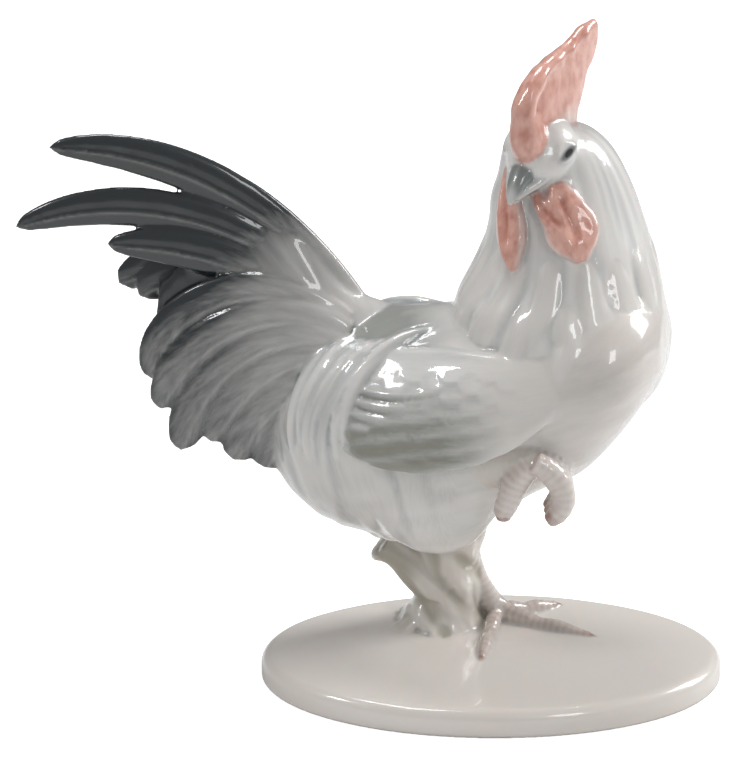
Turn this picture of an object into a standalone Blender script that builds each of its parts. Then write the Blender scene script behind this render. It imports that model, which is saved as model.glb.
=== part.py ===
"""Rooster figurine: one glazed porcelain casting, a cockerel on an oval plinth.

The bird stands on its left leg with the right foot drawn up and clenched, its head turned
back over the right shoulder. A tree stump behind the leg carries the belly. Every form is a
loft of oval sections in a frame of its own, hung in a chain: plinth, leg, body, neck, head,
comb. The lofts are melted into one skin, thinned, and set on the plinth.

Metres, +Z up. The origin is under the middle of the finished figure, on the table.
"""

import math

import bmesh
import bpy
from mathutils import Matrix, Vector
from mathutils.bvhtree import BVHTree

MM = 0.001

# Plinth
BASE_LENGTH = 171.0 * MM
BASE_DEPTH = 101.6 * MM
BASE_HEIGHT = 10.5 * MM
BASE_EDGE_RADIUS = 4.5 * MM
BASE_CROWN = 1.4 * MM
BASE_CHAMFER = 1.0 * MM
BASE_SIDES = 80
FOOT_RING_WIDTH = 6.0 * MM
UNDERSIDE_RECESS = 2.0 * MM
RECESS_DRAFT = 0.3
VENT_DIAMETER = 4.0 * MM
VENT_DEPTH = 5.0 * MM

# Stance
FOOT_FORWARD = 3.0 * MM
FOOT_ASIDE = 26.0 * MM
BODY_BACK = 9.0 * MM
BODY_ASIDE = 22.0 * MM
LEG_HEIGHT = 88.0 * MM
BODY_HEADING = math.radians(-12.0)

# Body
BODY_LENGTH = 140.0 * MM
BODY_HEIGHT = 92.0 * MM
BODY_WIDTH = 76.0 * MM
WING_LENGTH = 78.0 * MM
WING_HEIGHT = 37.0 * MM
WING_THICKNESS = 10.0 * MM
THIGH_LENGTH = 52.0 * MM
THIGH_WIDTH = 34.0 * MM

# Neck and head
NECK_HEIGHT = 84.0 * MM
NECK_WIDTH = 80.0 * MM
NECK_DEPTH = 72.0 * MM
HEAD_LENGTH = 32.0 * MM
HEAD_WIDTH = 28.0 * MM
HEAD_HEADING = math.radians(-125.0)
BEAK_LENGTH = 17.0 * MM
BEAK_WIDTH = 14.0 * MM
COMB_HEIGHT = 42.0 * MM
COMB_LENGTH = 38.0 * MM
COMB_THICKNESS = 9.0 * MM
COMB_HEADING = math.radians(-133.0)
WATTLE_LENGTH = 28.0 * MM
WATTLE_WIDTH = 21.0 * MM
WATTLE_THICKNESS = 6.0 * MM
EYE_DIAMETER = 4.6 * MM

# Tail
SICKLE_LENGTH = 132.0 * MM
COVERT_LENGTH = 89.0 * MM
SICKLE_WIDTH = 15.0 * MM
COVERT_WIDTH = 16.0 * MM
FEATHER_THICKNESS = 7.0 * MM
TAIL_SPREAD = 76.0 * MM
TAIL_THICKNESS = 28.0 * MM

# Loose feathers laid on the skin
HACKLE_LENGTH = 46.0 * MM
HACKLE_WIDTH = 10.0 * MM
HACKLE_THICKNESS = 2.4 * MM
HACKLE_COUNT = 17
SADDLE_LENGTH = 76.0 * MM
SADDLE_WIDTH = 9.5 * MM
SADDLE_THICKNESS = 4.6 * MM
SADDLE_COUNT = 9

# Feet and stump
SHANK_DIAMETER = 7.0 * MM
TOE_LENGTH = 40.0 * MM
TOE_DIAMETER = 5.6 * MM
CLENCH_REACH = 22.0 * MM
STUMP_DIAMETER = 23.0 * MM
BRANCH_LENGTH = 30.0 * MM
BRANCH_DIAMETER = 10.5 * MM

# Casting
VOXEL = 1.0 * MM
SOFTENING = 4
TRIANGLES = 9600
GLAZE_COLOUR = (0.78, 0.77, 0.74, 1.0)

# Oval sections of the body: along, rise, half height and half width, as shares of its sizes
BODY_SECTIONS = (
    (-0.520, -0.065, 0.170, 0.200), (-0.475, -0.045, 0.290, 0.300), (-0.394, -0.025, 0.400, 0.375),
    (-0.287, -0.012, 0.460, 0.438), (-0.181, -0.016, 0.492, 0.475), (-0.088, -0.010, 0.505, 0.490),
    (0.031, 0.075, 0.462, 0.500), (0.161, 0.180, 0.415, 0.500), (0.289, 0.262, 0.388, 0.475),
    (0.377, 0.335, 0.300, 0.420), (0.440, 0.380, 0.195, 0.320), (0.480, 0.410, 0.080, 0.160),
)

# The wing's shoulder as shares of the body, and its sections: back, drop, half height, half thickness
WING_SHOULDER = (0.257, 0.330)
WING_QUILLS = 6
WING_SECTIONS = (
    (0.00, 0.02, 0.08, 0.20), (0.05, 0.04, 0.26, 0.36), (0.18, 0.13, 0.43, 0.48),
    (0.36, 0.23, 0.54, 0.52), (0.56, 0.30, 0.61, 0.50), (0.75, 0.34, 0.60, 0.44),
    (0.89, 0.37, 0.53, 0.36), (0.965, 0.40, 0.40, 0.28), (1.00, 0.42, 0.16, 0.14),
)

# Level sections of the neck: rise, forward and aside shift, half width and half depth
NECK_SECTIONS = (
    (-0.400, -0.020, 0.000, 0.170, 0.190), (-0.300, 0.005, 0.000, 0.270, 0.290),
    (-0.200, 0.025, -0.005, 0.355, 0.365), (-0.100, 0.038, -0.012, 0.418, 0.415),
    (0.000, 0.042, -0.018, 0.438, 0.445), (0.135, 0.002, -0.005, 0.470, 0.475),
    (0.248, -0.006, 0.010, 0.452, 0.450), (0.332, 0.008, 0.035, 0.422, 0.423),
    (0.410, 0.018, 0.050, 0.394, 0.398), (0.507, 0.022, 0.065, 0.371, 0.373),
    (0.595, 0.016, 0.080, 0.346, 0.340), (0.682, 0.002, 0.090, 0.327, 0.315),
    (0.773, -0.004, 0.090, 0.292, 0.285), (0.865, -0.021, 0.085, 0.259, 0.258),
    (0.932, -0.036, 0.075, 0.222, 0.225), (0.985, -0.052, 0.070, 0.165, 0.165),
    (1.005, -0.058, 0.070, 0.080, 0.080),
)

# Sections of the skull: forward, rise, half width and half height, as shares of the head
SKULL_SECTIONS = (
    (-0.42, -0.14, 0.16, 0.16), (-0.28, -0.10, 0.33, 0.28), (-0.05, -0.05, 0.46, 0.39),
    (0.18, -0.06, 0.46, 0.40), (0.34, -0.10, 0.36, 0.33), (0.46, -0.13, 0.25, 0.25),
    (0.53, -0.15, 0.11, 0.12),
)

# Sections of the two halves of the beak: forward, rise, half width and half height
UPPER_BEAK = (
    (0.00, 0.00, 0.44, 0.34), (0.30, -0.02, 0.38, 0.32), (0.58, -0.14, 0.27, 0.26),
    (0.80, -0.34, 0.19, 0.17), (0.92, -0.56, 0.07, 0.08),
)
LOWER_BEAK = (
    (-0.05, -0.38, 0.36, 0.18), (0.35, -0.42, 0.30, 0.15), (0.60, -0.54, 0.17, 0.10),
    (0.70, -0.60, 0.08, 0.06),
)

# Sections of a wattle from its root: half width, half thickness, and how proud it stands
WATTLE_SECTIONS = (
    (0.16, 0.30, 0.00), (0.30, 0.44, 0.15), (0.40, 0.50, 0.30), (0.48, 0.54, 0.38),
    (0.49, 0.56, 0.42), (0.38, 0.52, 0.40), (0.12, 0.28, 0.30),
)

# Level sections of the comb: rise, front edge, rear edge and half thickness
COMB_SECTIONS = (
    (-0.15, -0.05, 0.62, 0.34), (0.00, -0.09, 0.72, 0.45), (0.13, -0.10, 0.76, 0.43),
    (0.27, -0.09, 0.79, 0.36), (0.46, -0.04, 0.86, 0.31), (0.59, 0.04, 0.93, 0.28),
    (0.70, 0.16, 1.00, 0.27), (0.84, 0.54, 1.03, 0.23), (0.93, 0.78, 1.03, 0.19),
    (0.985, 0.93, 0.99, 0.10),
)

# The thicker ridge along its front edge: back, rise, half length and half thickness
COMB_RIDGE = (
    (0.03, 0.05, 0.130, 0.52), (0.02, 0.18, 0.125, 0.60), (0.01, 0.30, 0.105, 0.54),
    (0.06, 0.46, 0.105, 0.50), (0.16, 0.60, 0.085, 0.42), (0.35, 0.70, 0.070, 0.36),
    (0.60, 0.80, 0.060, 0.31), (0.82, 0.90, 0.060, 0.27), (0.93, 0.95, 0.040, 0.18),
)

# The knobs on the ridge: back, rise and half size
COMB_KNOBS = (
    (-0.01, 0.42, 0.080), (0.12, 0.565, 0.075), (0.28, 0.655, 0.07), (0.44, 0.72, 0.065),
    (0.60, 0.795, 0.06), (0.80, 0.885, 0.06),
)

# Tail feathers: name, reach as a share of its kind, start and end angle, how late it bends,
# and how far aside of the tail's middle it starts and ends as a share of the tail's thickness
SICKLES = (
    ("first sickle", 1.00, 54.5, -3.0, 1.23, 0.00, 0.00, (-0.15, 0.30)),
    ("second sickle", 1.018, 49.5, -24.0, 1.16, 0.05, 0.05, (-0.03, 0.22)),
    ("third feather", 0.70, 39.0, -4.0, 1.18, 0.14, 0.12, (0.06, 0.15)),
)
COVERTS = (
    ("curl", 0.98, 45.0, -37.0, 1.35, -0.24, -0.26, (0.20, 0.03)),
    ("lower curl", 0.90, 42.0, -46.0, 1.77, -0.20, -0.18, (0.20, -0.09)),
    ("inner curl", 0.79, 43.0, -38.0, 1.62, -0.10, -0.06, (0.20, -0.12)),
    ("crescent", 1.03, 33.0, -88.0, 1.31, 0.30, 0.20, (0.02, 0.23)),
    ("high covert", 0.97, 38.0, -71.0, 0.75, 0.40, 0.28, (0.02, 0.12)),
    ("middle covert", 0.96, 44.0, -78.0, 0.55, 0.46, 0.28, (0.04, -0.04)),
    ("low covert", 0.73, 30.0, -68.0, 0.50, 0.50, 0.32, (0.07, -0.20)),
    ("short covert", 0.62, 9.0, -67.0, 0.50, 0.50, 0.34, (0.12, -0.44)),
    ("last covert", 0.47, -7.0, -70.0, 0.50, 0.46, 0.34, (0.17, -0.71)),
)


def level_frame(origin, heading):
    """A frame with its first axis level along the heading and its third axis up."""
    return Matrix.Translation(origin) @ Matrix.Rotation(heading, 4, "Z")


def smooth_rows(rows, steps):
    """Rows of numbers with others set between them on a smooth curve through them all."""
    result = []
    last = len(rows) - 1
    for index in range(last):
        before, start = rows[max(index - 1, 0)], rows[index]
        end, after = rows[index + 1], rows[min(index + 2, last)]
        for step in range(steps):
            t = step / steps
            result.append(tuple(
                0.5 * (2 * q + (r - p) * t + (2 * p - 5 * q + 4 * r - s) * t * t
                       + (3 * q - p - 3 * r + s) * t ** 3)
                for p, q, r, s in zip(before, start, end, after)))
    result.append(tuple(rows[-1]))
    return result


def oval(centre, across, up, half_width, half_height, sides):
    """The corners of one oval section."""
    corners = []
    for index in range(sides):
        angle = math.tau * index / sides
        corners.append(centre + across * (half_width * math.cos(angle))
                       + up * (half_height * math.sin(angle)))
    return corners


def loft(form, rings):
    """Grow a closed skin through the rings, which all have the same number of corners."""
    mesh = bmesh.new()
    start = bmesh.ops.create_circle(mesh, cap_ends=True, radius=1.0, segments=len(rings[0]))
    cap = start["verts"][0].link_faces[0]
    for index, ring in enumerate(rings):
        if index:
            cap = bmesh.ops.extrude_discrete_faces(mesh, faces=[cap])["faces"][0]
        for corner, place in zip(cap.loops, ring):
            corner.vert.co = place
    rim = [edge for edge in mesh.edges if edge.is_boundary]
    bmesh.ops.holes_fill(mesh, edges=rim, sides=0)
    bmesh.ops.recalc_face_normals(mesh, faces=mesh.faces)
    piece = bpy.data.meshes.new("loft")
    mesh.to_mesh(piece)
    mesh.free()
    form.from_mesh(piece)
    bpy.data.meshes.remove(piece)


def upright_loft(form, frame, rows, sides=32, steps=4):
    """Loft sections that stand square to the frame's first axis."""
    turn = frame.to_3x3()
    rings = []
    for along, aside, rise, half_width, half_height in smooth_rows(rows, steps):
        centre = frame @ Vector((along, aside, rise))
        rings.append(oval(centre, turn @ Vector((0, 1, 0)), turn @ Vector((0, 0, 1)),
                          half_width, half_height, sides))
    loft(form, rings)


def level_loft(form, frame, rows, sides=32, steps=4):
    """Loft sections that lie level, stacked along the frame's third axis."""
    turn = frame.to_3x3()
    rings = []
    for rise, along, aside, half_length, half_width in smooth_rows(rows, steps):
        centre = frame @ Vector((along, aside, rise))
        rings.append(oval(centre, turn @ Vector((1, 0, 0)), turn @ Vector((0, 1, 0)),
                          half_length, half_width, sides))
    loft(form, rings)


def limb(form, rows, flat=Vector((0, 1, 0)), sides=14, steps=5):
    """Loft along a bent path: rows of x, y, z, half width along `flat` and half height."""
    stations = smooth_rows(rows, steps)
    points = [Vector(row[:3]) for row in stations]
    rings = []
    for index, row in enumerate(stations):
        ahead = points[min(index + 1, len(points) - 1)] - points[max(index - 1, 0)]
        ahead.normalize()
        across = (flat - ahead * flat.dot(ahead)).normalized()
        rings.append(oval(points[index], across, ahead.cross(across), row[3], row[4], sides))
    loft(form, rings)


def egg(form, centre, turn, half_sizes, rings=20, sides=36):
    """A closed ellipsoid turned by a rotation."""
    place = Matrix.Translation(centre) @ turn.to_4x4() @ Matrix.Diagonal((*half_sizes, 1.0))
    bmesh.ops.create_uvsphere(form, u_segments=sides, v_segments=rings, radius=1.0, matrix=place)


def plinth_top():
    """Height of the plinth's top at its middle."""
    return BASE_HEIGHT + BASE_CROWN


def foot_place():
    """Where the standing foot meets the plinth."""
    return Vector((FOOT_FORWARD, FOOT_ASIDE, plinth_top() - 0.5 * BASE_CROWN))


def body_frame():
    """Frame at the middle of the body, first axis towards the breast."""
    foot = foot_place()
    return level_frame(foot + Vector((-BODY_BACK, -BODY_ASIDE, LEG_HEIGHT)), BODY_HEADING)


def on_body(along, aside, rise):
    """A place given as shares of the body's length, width and height."""
    return body_frame() @ Vector((along * BODY_LENGTH, aside * BODY_WIDTH, rise * BODY_HEIGHT))


def body_section(along):
    """The body's section at a distance along it: middle, half height and half width."""
    share = along / BODY_LENGTH
    for before, after in zip(BODY_SECTIONS, BODY_SECTIONS[1:]):
        if share <= after[0]:
            break
    t = max(0.0, min(1.0, (share - before[0]) / (after[0] - before[0])))
    rise, half_height, half_width = (p + (q - p) * t for p, q in zip(before[1:], after[1:]))
    return rise * BODY_HEIGHT, half_height * BODY_HEIGHT, half_width * BODY_WIDTH


def neck_frame():
    """Frame at the root of the neck, square to the plinth."""
    return level_frame(on_body(0.210, 0.055, 0.320), 0.0)


def on_neck(rise, along, aside):
    """A place given as shares of the neck's height, width and depth."""
    return neck_frame() @ Vector((along * NECK_WIDTH, aside * NECK_DEPTH, rise * NECK_HEIGHT))


def head_frame():
    """Frame in the middle of the skull, first axis towards the beak."""
    return level_frame(on_neck(0.935, -0.081, -0.010), HEAD_HEADING)


def comb_frame():
    """Frame at the front root of the comb, first axis towards its rear."""
    root = head_frame() @ Vector((0.50 * HEAD_LENGTH, 0.01 * HEAD_WIDTH, 0.02 * HEAD_LENGTH))
    return level_frame(root, COMB_HEADING + math.pi)


def tail_frame():
    """Frame at the root of the tail: first axis to the rear, second towards the right side."""
    return level_frame(on_body(-0.342, 0.014, 0.362), math.pi)


def add_body(form):
    """The trunk of the bird, with a thigh on each side."""
    rows = [(a * BODY_LENGTH, 0.0, r * BODY_HEIGHT, w * BODY_WIDTH, h * BODY_HEIGHT)
            for a, r, h, w in BODY_SECTIONS]
    upright_loft(form, body_frame(), rows, sides=48)
    turn = body_frame().to_3x3()
    half_length, half_width = 0.5 * THIGH_LENGTH, 0.5 * THIGH_WIDTH
    egg(form, on_body(-0.090, -0.26, -0.15), turn, (half_length, half_width, 1.10 * half_length))
    egg(form, on_body(-0.075, 0.22, -0.20), turn, (0.9 * half_length, half_width, half_length))


def add_neck(form):
    """The hackled neck, from the breast to the crown of the head."""
    rows = [(r * NECK_HEIGHT, a * NECK_WIDTH, s * NECK_DEPTH, w * NECK_WIDTH, d * NECK_DEPTH)
            for r, a, s, w, d in NECK_SECTIONS]
    level_loft(form, neck_frame(), rows, sides=48)


def add_wing(form, side):
    """One folded wing, a lens laid on the flank, with its long feathers along the lower edge."""
    def on_flank(back, drop, proud):
        """A place on the flank, with the directions out of it and up along it."""
        along = WING_SHOULDER[0] * BODY_LENGTH - back * WING_LENGTH
        rise = WING_SHOULDER[1] * BODY_HEIGHT - drop * WING_HEIGHT
        middle, half_height, half_width = body_section(along)
        lean = max(-0.9, min(0.9, (rise - middle) / half_height))
        aside = half_width * math.sqrt(1.0 - lean * lean)
        outward = Vector((0.0, side * aside / half_width ** 2, lean / half_height)).normalized()
        upward = Vector((0.0, -side * outward.z, abs(outward.y)))
        centre = Vector((along, side * aside, rise)) + outward * (proud * WING_THICKNESS)
        return frame @ centre, turn @ outward, turn @ upward

    frame = body_frame()
    turn = frame.to_3x3()
    rings = []
    for back, drop, half_height, half_thick in smooth_rows(WING_SECTIONS, 4):
        centre, outward, upward = on_flank(back, drop, -0.08)
        rings.append(oval(centre, outward, upward, half_thick * WING_THICKNESS,
                          half_height * WING_HEIGHT, 24))
    loft(form, rings)
    for index in range(WING_QUILLS):
        share = index / (WING_QUILLS - 1)
        half = (0.092 - 0.02 * share) * WING_HEIGHT
        rows = []
        for reach, swell in ((0.0, 0.6), (0.35, 1.0), (0.65, 1.05), (0.88, 0.85), (1.0, 0.35)):
            back = 0.34 + 0.16 * math.sqrt(share) + reach * (0.665 - 0.17 * math.sqrt(share))
            drop = 0.66 - 0.60 * share + reach * 0.13 + 0.06 * math.sin(math.pi * reach)
            proud = 0.26 + 0.16 * share - 0.10 * reach
            centre, outward, upward = on_flank(back, drop, proud)
            rows.append((*centre, swell * half, 0.18 * swell * WING_THICKNESS))
        limb(form, rows, flat=upward, steps=6)


def add_head(form):
    """Skull, eyes, cheeks and the two halves of the beak."""
    frame = head_frame()
    turn = frame.to_3x3()
    rows = [(f * HEAD_LENGTH, 0.0, r * HEAD_LENGTH, w * HEAD_WIDTH, h * HEAD_LENGTH)
            for f, r, w, h in SKULL_SECTIONS]
    upright_loft(form, frame, rows, sides=28)
    for side in (-1, 1):
        eye = frame @ Vector((0.20 * HEAD_LENGTH, side * 0.405 * HEAD_WIDTH, 0.0))
        egg(form, eye, turn, (0.5 * EYE_DIAMETER,) * 3, rings=8, sides=12)
        lobe = frame @ Vector((-0.04 * HEAD_LENGTH, side * 0.47 * HEAD_WIDTH, -0.26 * HEAD_LENGTH))
        egg(form, lobe, turn, (0.13 * HEAD_LENGTH, 0.11 * HEAD_WIDTH, 0.22 * HEAD_LENGTH))
    root = level_frame(frame @ Vector((0.34 * HEAD_LENGTH, 0.0, -0.13 * HEAD_LENGTH)), HEAD_HEADING)
    for sections in (UPPER_BEAK, LOWER_BEAK):
        rows = [(f * BEAK_LENGTH, 0.0, r * BEAK_LENGTH, w * BEAK_WIDTH, h * BEAK_LENGTH)
                for f, r, w, h in sections]
        upright_loft(form, root, rows, sides=20)


def add_comb(form):
    """The single comb, a blade that sweeps up and back from a thick front lobe."""
    frame = comb_frame()
    rows = []
    for rise, front, rear, half_thick in COMB_SECTIONS:
        rows.append((rise * COMB_HEIGHT, 0.5 * (front + rear) * COMB_LENGTH, 0.0,
                     0.5 * (rear - front) * COMB_LENGTH, half_thick * COMB_THICKNESS))
    level_loft(form, frame, rows, sides=28)
    turn = frame.to_3x3()
    rows = [(*(frame @ Vector((back * COMB_LENGTH, 0.0, rise * COMB_HEIGHT))),
             thick * COMB_THICKNESS, swell * COMB_LENGTH) for back, rise, swell, thick in COMB_RIDGE]
    limb(form, rows, flat=turn @ Vector((0, 1, 0)))
    lobe = frame @ Vector((0.04 * COMB_LENGTH, 0.0, 0.09 * COMB_HEIGHT))
    egg(form, lobe, turn, (0.15 * COMB_LENGTH, 0.62 * COMB_THICKNESS, 0.17 * COMB_HEIGHT))
    for back, rise, half in COMB_KNOBS:
        point = frame @ Vector((back * COMB_LENGTH, 0.0, rise * COMB_HEIGHT))
        egg(form, point, turn, (half * COMB_LENGTH, 0.36 * COMB_THICKNESS, 0.9 * half * COMB_HEIGHT))


def skin_of(form):
    """A lookup of the nearest place and direction on the skin of a form."""
    return BVHTree.FromBMesh(form)


def draped_line(skin, start, lean, end_lean, length, steps=9):
    """Places and outward directions along a line that hugs the skin while its heading turns."""
    place, outward = skin.find_nearest(start)[:2]
    line = []
    for index in range(steps + 1):
        heading = lean.lerp(end_lean, index / steps)
        ahead = (heading - outward * heading.dot(outward)).normalized()
        line.append((place.copy(), outward.copy(), ahead))
        place, outward = skin.find_nearest(place + ahead * (length / steps))[:2]
    return line


def add_plume(form, line, width, thickness):
    """A loose feather on a draped line: narrow at its root, pointed, and sunk at both ends."""
    rings = []
    broadest = 0.45
    last = len(line) - 1
    for index, (place, outward, ahead) in enumerate(line):
        t = index / last
        swell = 0.35 + 0.65 * math.sin(0.5 * math.pi * min(t / broadest, 1.0))
        swell *= 1.0 - 2.2 * max(t - broadest, 0.0) ** 1.5
        dive = max(1.0 - t / 0.25, 0.0) + max((t - 0.62) / 0.38, 0.0)
        across = ahead.cross(outward).normalized()
        lift = outward * ((0.12 - 0.62 * dive ** 1.4) * thickness)
        rings.append(oval(place + lift, across, outward, 0.5 * width * max(swell, 0.12),
                          0.5 * thickness * max(0.4 + 0.6 * swell, 0.3), 12))
    loft(form, rings)


def add_wattles(form, skin):
    """Two wattles on the hackle: the left one hangs broad and free, the right one is slimmer."""
    frame = head_frame()
    for side, spread, start in ((1, 1.0, (0.26, 0.30, -0.33)), (-1, 0.68, (0.36, -0.22, -0.36))):
        sizes = (HEAD_LENGTH, HEAD_WIDTH, HEAD_LENGTH)
        root = frame @ Vector(share * size for share, size in zip(start, sizes))
        lean = Vector((0.30, -0.25, -1.0)) if side > 0 else Vector((0.10, -0.20, -1.0))
        line = draped_line(skin, root, lean, lean, WATTLE_LENGTH, steps=len(WATTLE_SECTIONS) - 1)
        rings = []
        for (place, outward, ahead), (width, thick, lift) in zip(line, WATTLE_SECTIONS):
            across = ahead.cross(outward).normalized()
            rings.append((*(place + outward * (lift * WATTLE_THICKNESS)), *across, *outward,
                          width * spread * WATTLE_WIDTH, thick * WATTLE_THICKNESS))
        loft(form, [oval(Vector(row[0:3]), Vector(row[3:6]), Vector(row[6:9]), row[9], row[10], 20)
                    for row in smooth_rows(rings, 4)])


def add_hackles(form, skin):
    """The fringe of neck hackles over the shoulders and breast, and the saddle hackles."""
    middle = on_neck(0.56, 0.0, 0.06)
    for row, (drop, scale) in enumerate(((0.0, 1.0), (-0.20, 0.92))):
        for index in range(HACKLE_COUNT):
            angle = math.tau * (index + 0.5 * row + 0.25) / HACKLE_COUNT
            back = max(0.0, 0.25 - math.cos(angle))
            around = Vector((math.cos(angle) * 0.44 * NECK_WIDTH, math.sin(angle) * 0.42 * NECK_DEPTH,
                             drop * NECK_HEIGHT))
            lean = Vector((0.10 - 0.25 * back, 0.0, -1.0))
            settle = Vector((0.15 - 1.15 * back, 0.0, -0.9 + 0.25 * back))
            reach = scale * HACKLE_LENGTH * (0.92 + 0.16 * math.sin(2.4 * index + row) + 0.10 * back)
            line = draped_line(skin, middle + around, lean, settle, reach, 12)
            add_plume(form, line, HACKLE_WIDTH, HACKLE_THICKNESS)
    for side in (-1, 1):
        for index in range(SADDLE_COUNT):
            share = index / (SADDLE_COUNT - 1)
            spread = 0.16 + 0.12 * math.sin(math.pi * share)
            start = on_body(-0.08 - 0.26 * share, side * spread, 0.52)
            lean = Vector((-1.0, side * (0.25 + 0.25 * share), -0.25 - 0.30 * share))
            settle = Vector((0.30 - 0.15 * share, side * 0.06, -1.0))
            reach = SADDLE_LENGTH * (1.0 - 0.20 * share) * (0.95 + 0.07 * math.sin(2.6 * index))
            line = draped_line(skin, start, lean, settle, reach, 14)
            add_plume(form, line, SADDLE_WIDTH, SADDLE_THICKNESS)


def feather_line(frame, reach, start, end, lateness, aside, aside_end, root, steps=12):
    """Places along a feather that leaves at one angle and bends over to another."""
    back, rise = root
    places = [Vector((back, aside, rise))]
    for index in range(steps):
        share = (index + 0.5) / steps
        angle = math.radians(start + (end - start) * share ** lateness)
        back += math.cos(angle) * reach / steps
        rise += math.sin(angle) * reach / steps
        drift = aside + (aside_end - aside) * (index + 1) / steps
        places.append(Vector((back, drift, rise)))
    return [frame @ place for place in places]


def add_feather(form, frame, feather, length, width, side):
    """One tail feather: a lens in section, broad past the middle, with a rounded tip."""
    name, share, start, end, lateness, aside, aside_end, root = feather
    foot = tuple(value * TAIL_THICKNESS for value in root)
    line = feather_line(frame, share * length, start, end, lateness, side * aside * TAIL_THICKNESS,
                        side * aside_end * TAIL_THICKNESS, foot)
    rows = []
    for index, place in enumerate(line):
        t = index / (len(line) - 1)
        swell = 0.55 + 0.45 * math.sin(math.pi * min(t / 0.72, 1.0) * 0.5)
        taper = math.sqrt(max(1.0 - max((t - 0.55) / 0.4505, 0.0) ** 2.2, 0.0))
        thick = (1.0 - 0.45 * t) * math.sqrt(max(1.0 - max((t - 0.85) / 0.152, 0.0) ** 2, 0.02))
        rows.append((*place, 0.5 * FEATHER_THICKNESS * thick,
                     0.5 * width * (swell * taper + 0.03)))
    limb(form, rows, sides=16, steps=2)


def add_tail(form):
    """The fan of the tail over a thin core, with coverts on both sides."""
    frame = tail_frame()
    core = ((-0.28, -0.12, 0.20, 0.50), (0.00, -0.05, 0.28, 0.46), (0.26, 0.03, 0.48, 0.36),
            (0.52, 0.07, 0.46, 0.22), (0.70, 0.09, 0.34, 0.13), (0.84, 0.10, 0.18, 0.06),
            (0.92, 0.10, 0.06, 0.03))
    rows = [(b * TAIL_SPREAD, 0.0, r * TAIL_SPREAD, w * TAIL_THICKNESS, h * TAIL_SPREAD)
            for b, r, h, w in core]
    upright_loft(form, frame, rows)
    for feather in SICKLES:
        add_feather(form, frame, feather, SICKLE_LENGTH, SICKLE_WIDTH, 1)
    for feather in COVERTS:
        add_feather(form, frame, feather, COVERT_LENGTH, COVERT_WIDTH, 1)
        if feather[5] > 0.25:
            add_feather(form, frame, feather, 0.94 * COVERT_LENGTH, COVERT_WIDTH, -1)


def add_standing_leg(form):
    """The left leg, with three toes forward and one back on the plinth."""
    foot = foot_place()
    knee = on_body(-0.062, 0.23, -0.50)
    half = 0.5 * SHANK_DIAMETER
    ankle = foot + Vector((0.0, 0.0, 0.45 * SHANK_DIAMETER))
    rows = []
    for share, bow, swell in ((0.0, 0.0, 2.0), (0.30, 0.25, 1.05), (0.60, 0.50, 0.92),
                              (0.82, 0.35, 1.10), (0.94, 0.10, 1.20), (1.0, 0.0, 1.15)):
        place = knee.lerp(ankle, share) - Vector((bow * half, 0.0, 0.0))
        rows.append((*place, swell * half, swell * half))
    limb(form, rows, flat=Vector((1, 0, 0)))
    for heading, reach in ((-101.0, 0.97), (-26.0, 1.04), (24.0, 0.68), (158.0, 0.42)):
        ahead = Vector((math.cos(math.radians(heading)), math.sin(math.radians(heading)), 0.0))
        thick = 0.5 * TOE_DIAMETER
        rows = []
        for share, rise, swell in ((0.0, 0.90, 1.0), (0.22, 1.00, 1.05), (0.42, 0.45, 0.88),
                                   (0.60, 0.55, 0.92), (0.78, 0.25, 0.74), (0.90, 0.20, 0.50),
                                   (1.0, -0.10, 0.22)):
            place = foot + ahead * (share * reach * TOE_LENGTH)
            place.z += rise * thick
            rows.append((*place, swell * thick, swell * thick))
        limb(form, rows, flat=ahead.cross(Vector((0, 0, 1))))


def add_raised_leg(form):
    """The right foot, drawn up under the breast with its toes clenched."""
    joint = on_body(0.210, -0.490, 0.040)
    thigh = on_body(0.060, -0.360, 0.000)
    half = 0.5 * TOE_DIAMETER
    limb(form, [(*thigh, 3.8 * half, 3.8 * half), (*thigh.lerp(joint, 0.6), 2.7 * half, 2.6 * half),
                (*joint, 2.0 * half, 1.7 * half)])
    curl = ((-0.12, 0.10, 1.00), (0.06, -0.02, 1.20), (0.24, -0.20, 1.20), (0.35, -0.42, 1.14),
            (0.35, -0.62, 1.08), (0.24, -0.80, 0.95), (0.10, -0.90, 0.62))
    for aside in (-0.16, 0.10, 0.34):
        rows = []
        for ahead, rise, swell in curl:
            place = joint + Vector((ahead, aside - 0.12 * abs(rise), rise)) * CLENCH_REACH
            rows.append((*place, swell * half * 1.15, swell * half * 1.35))
        limb(form, rows)
    spur = ((-0.14, 0.02, 1.50), (-0.34, -0.28, 1.40), (-0.44, -0.56, 1.30), (-0.54, -0.76, 1.12),
            (-0.58, -0.87, 0.70))
    rows = []
    for ahead, rise, swell in spur:
        place = joint + Vector((ahead, 0.02, rise)) * CLENCH_REACH
        rows.append((*place, swell * half, swell * half))
    limb(form, rows)


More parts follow.
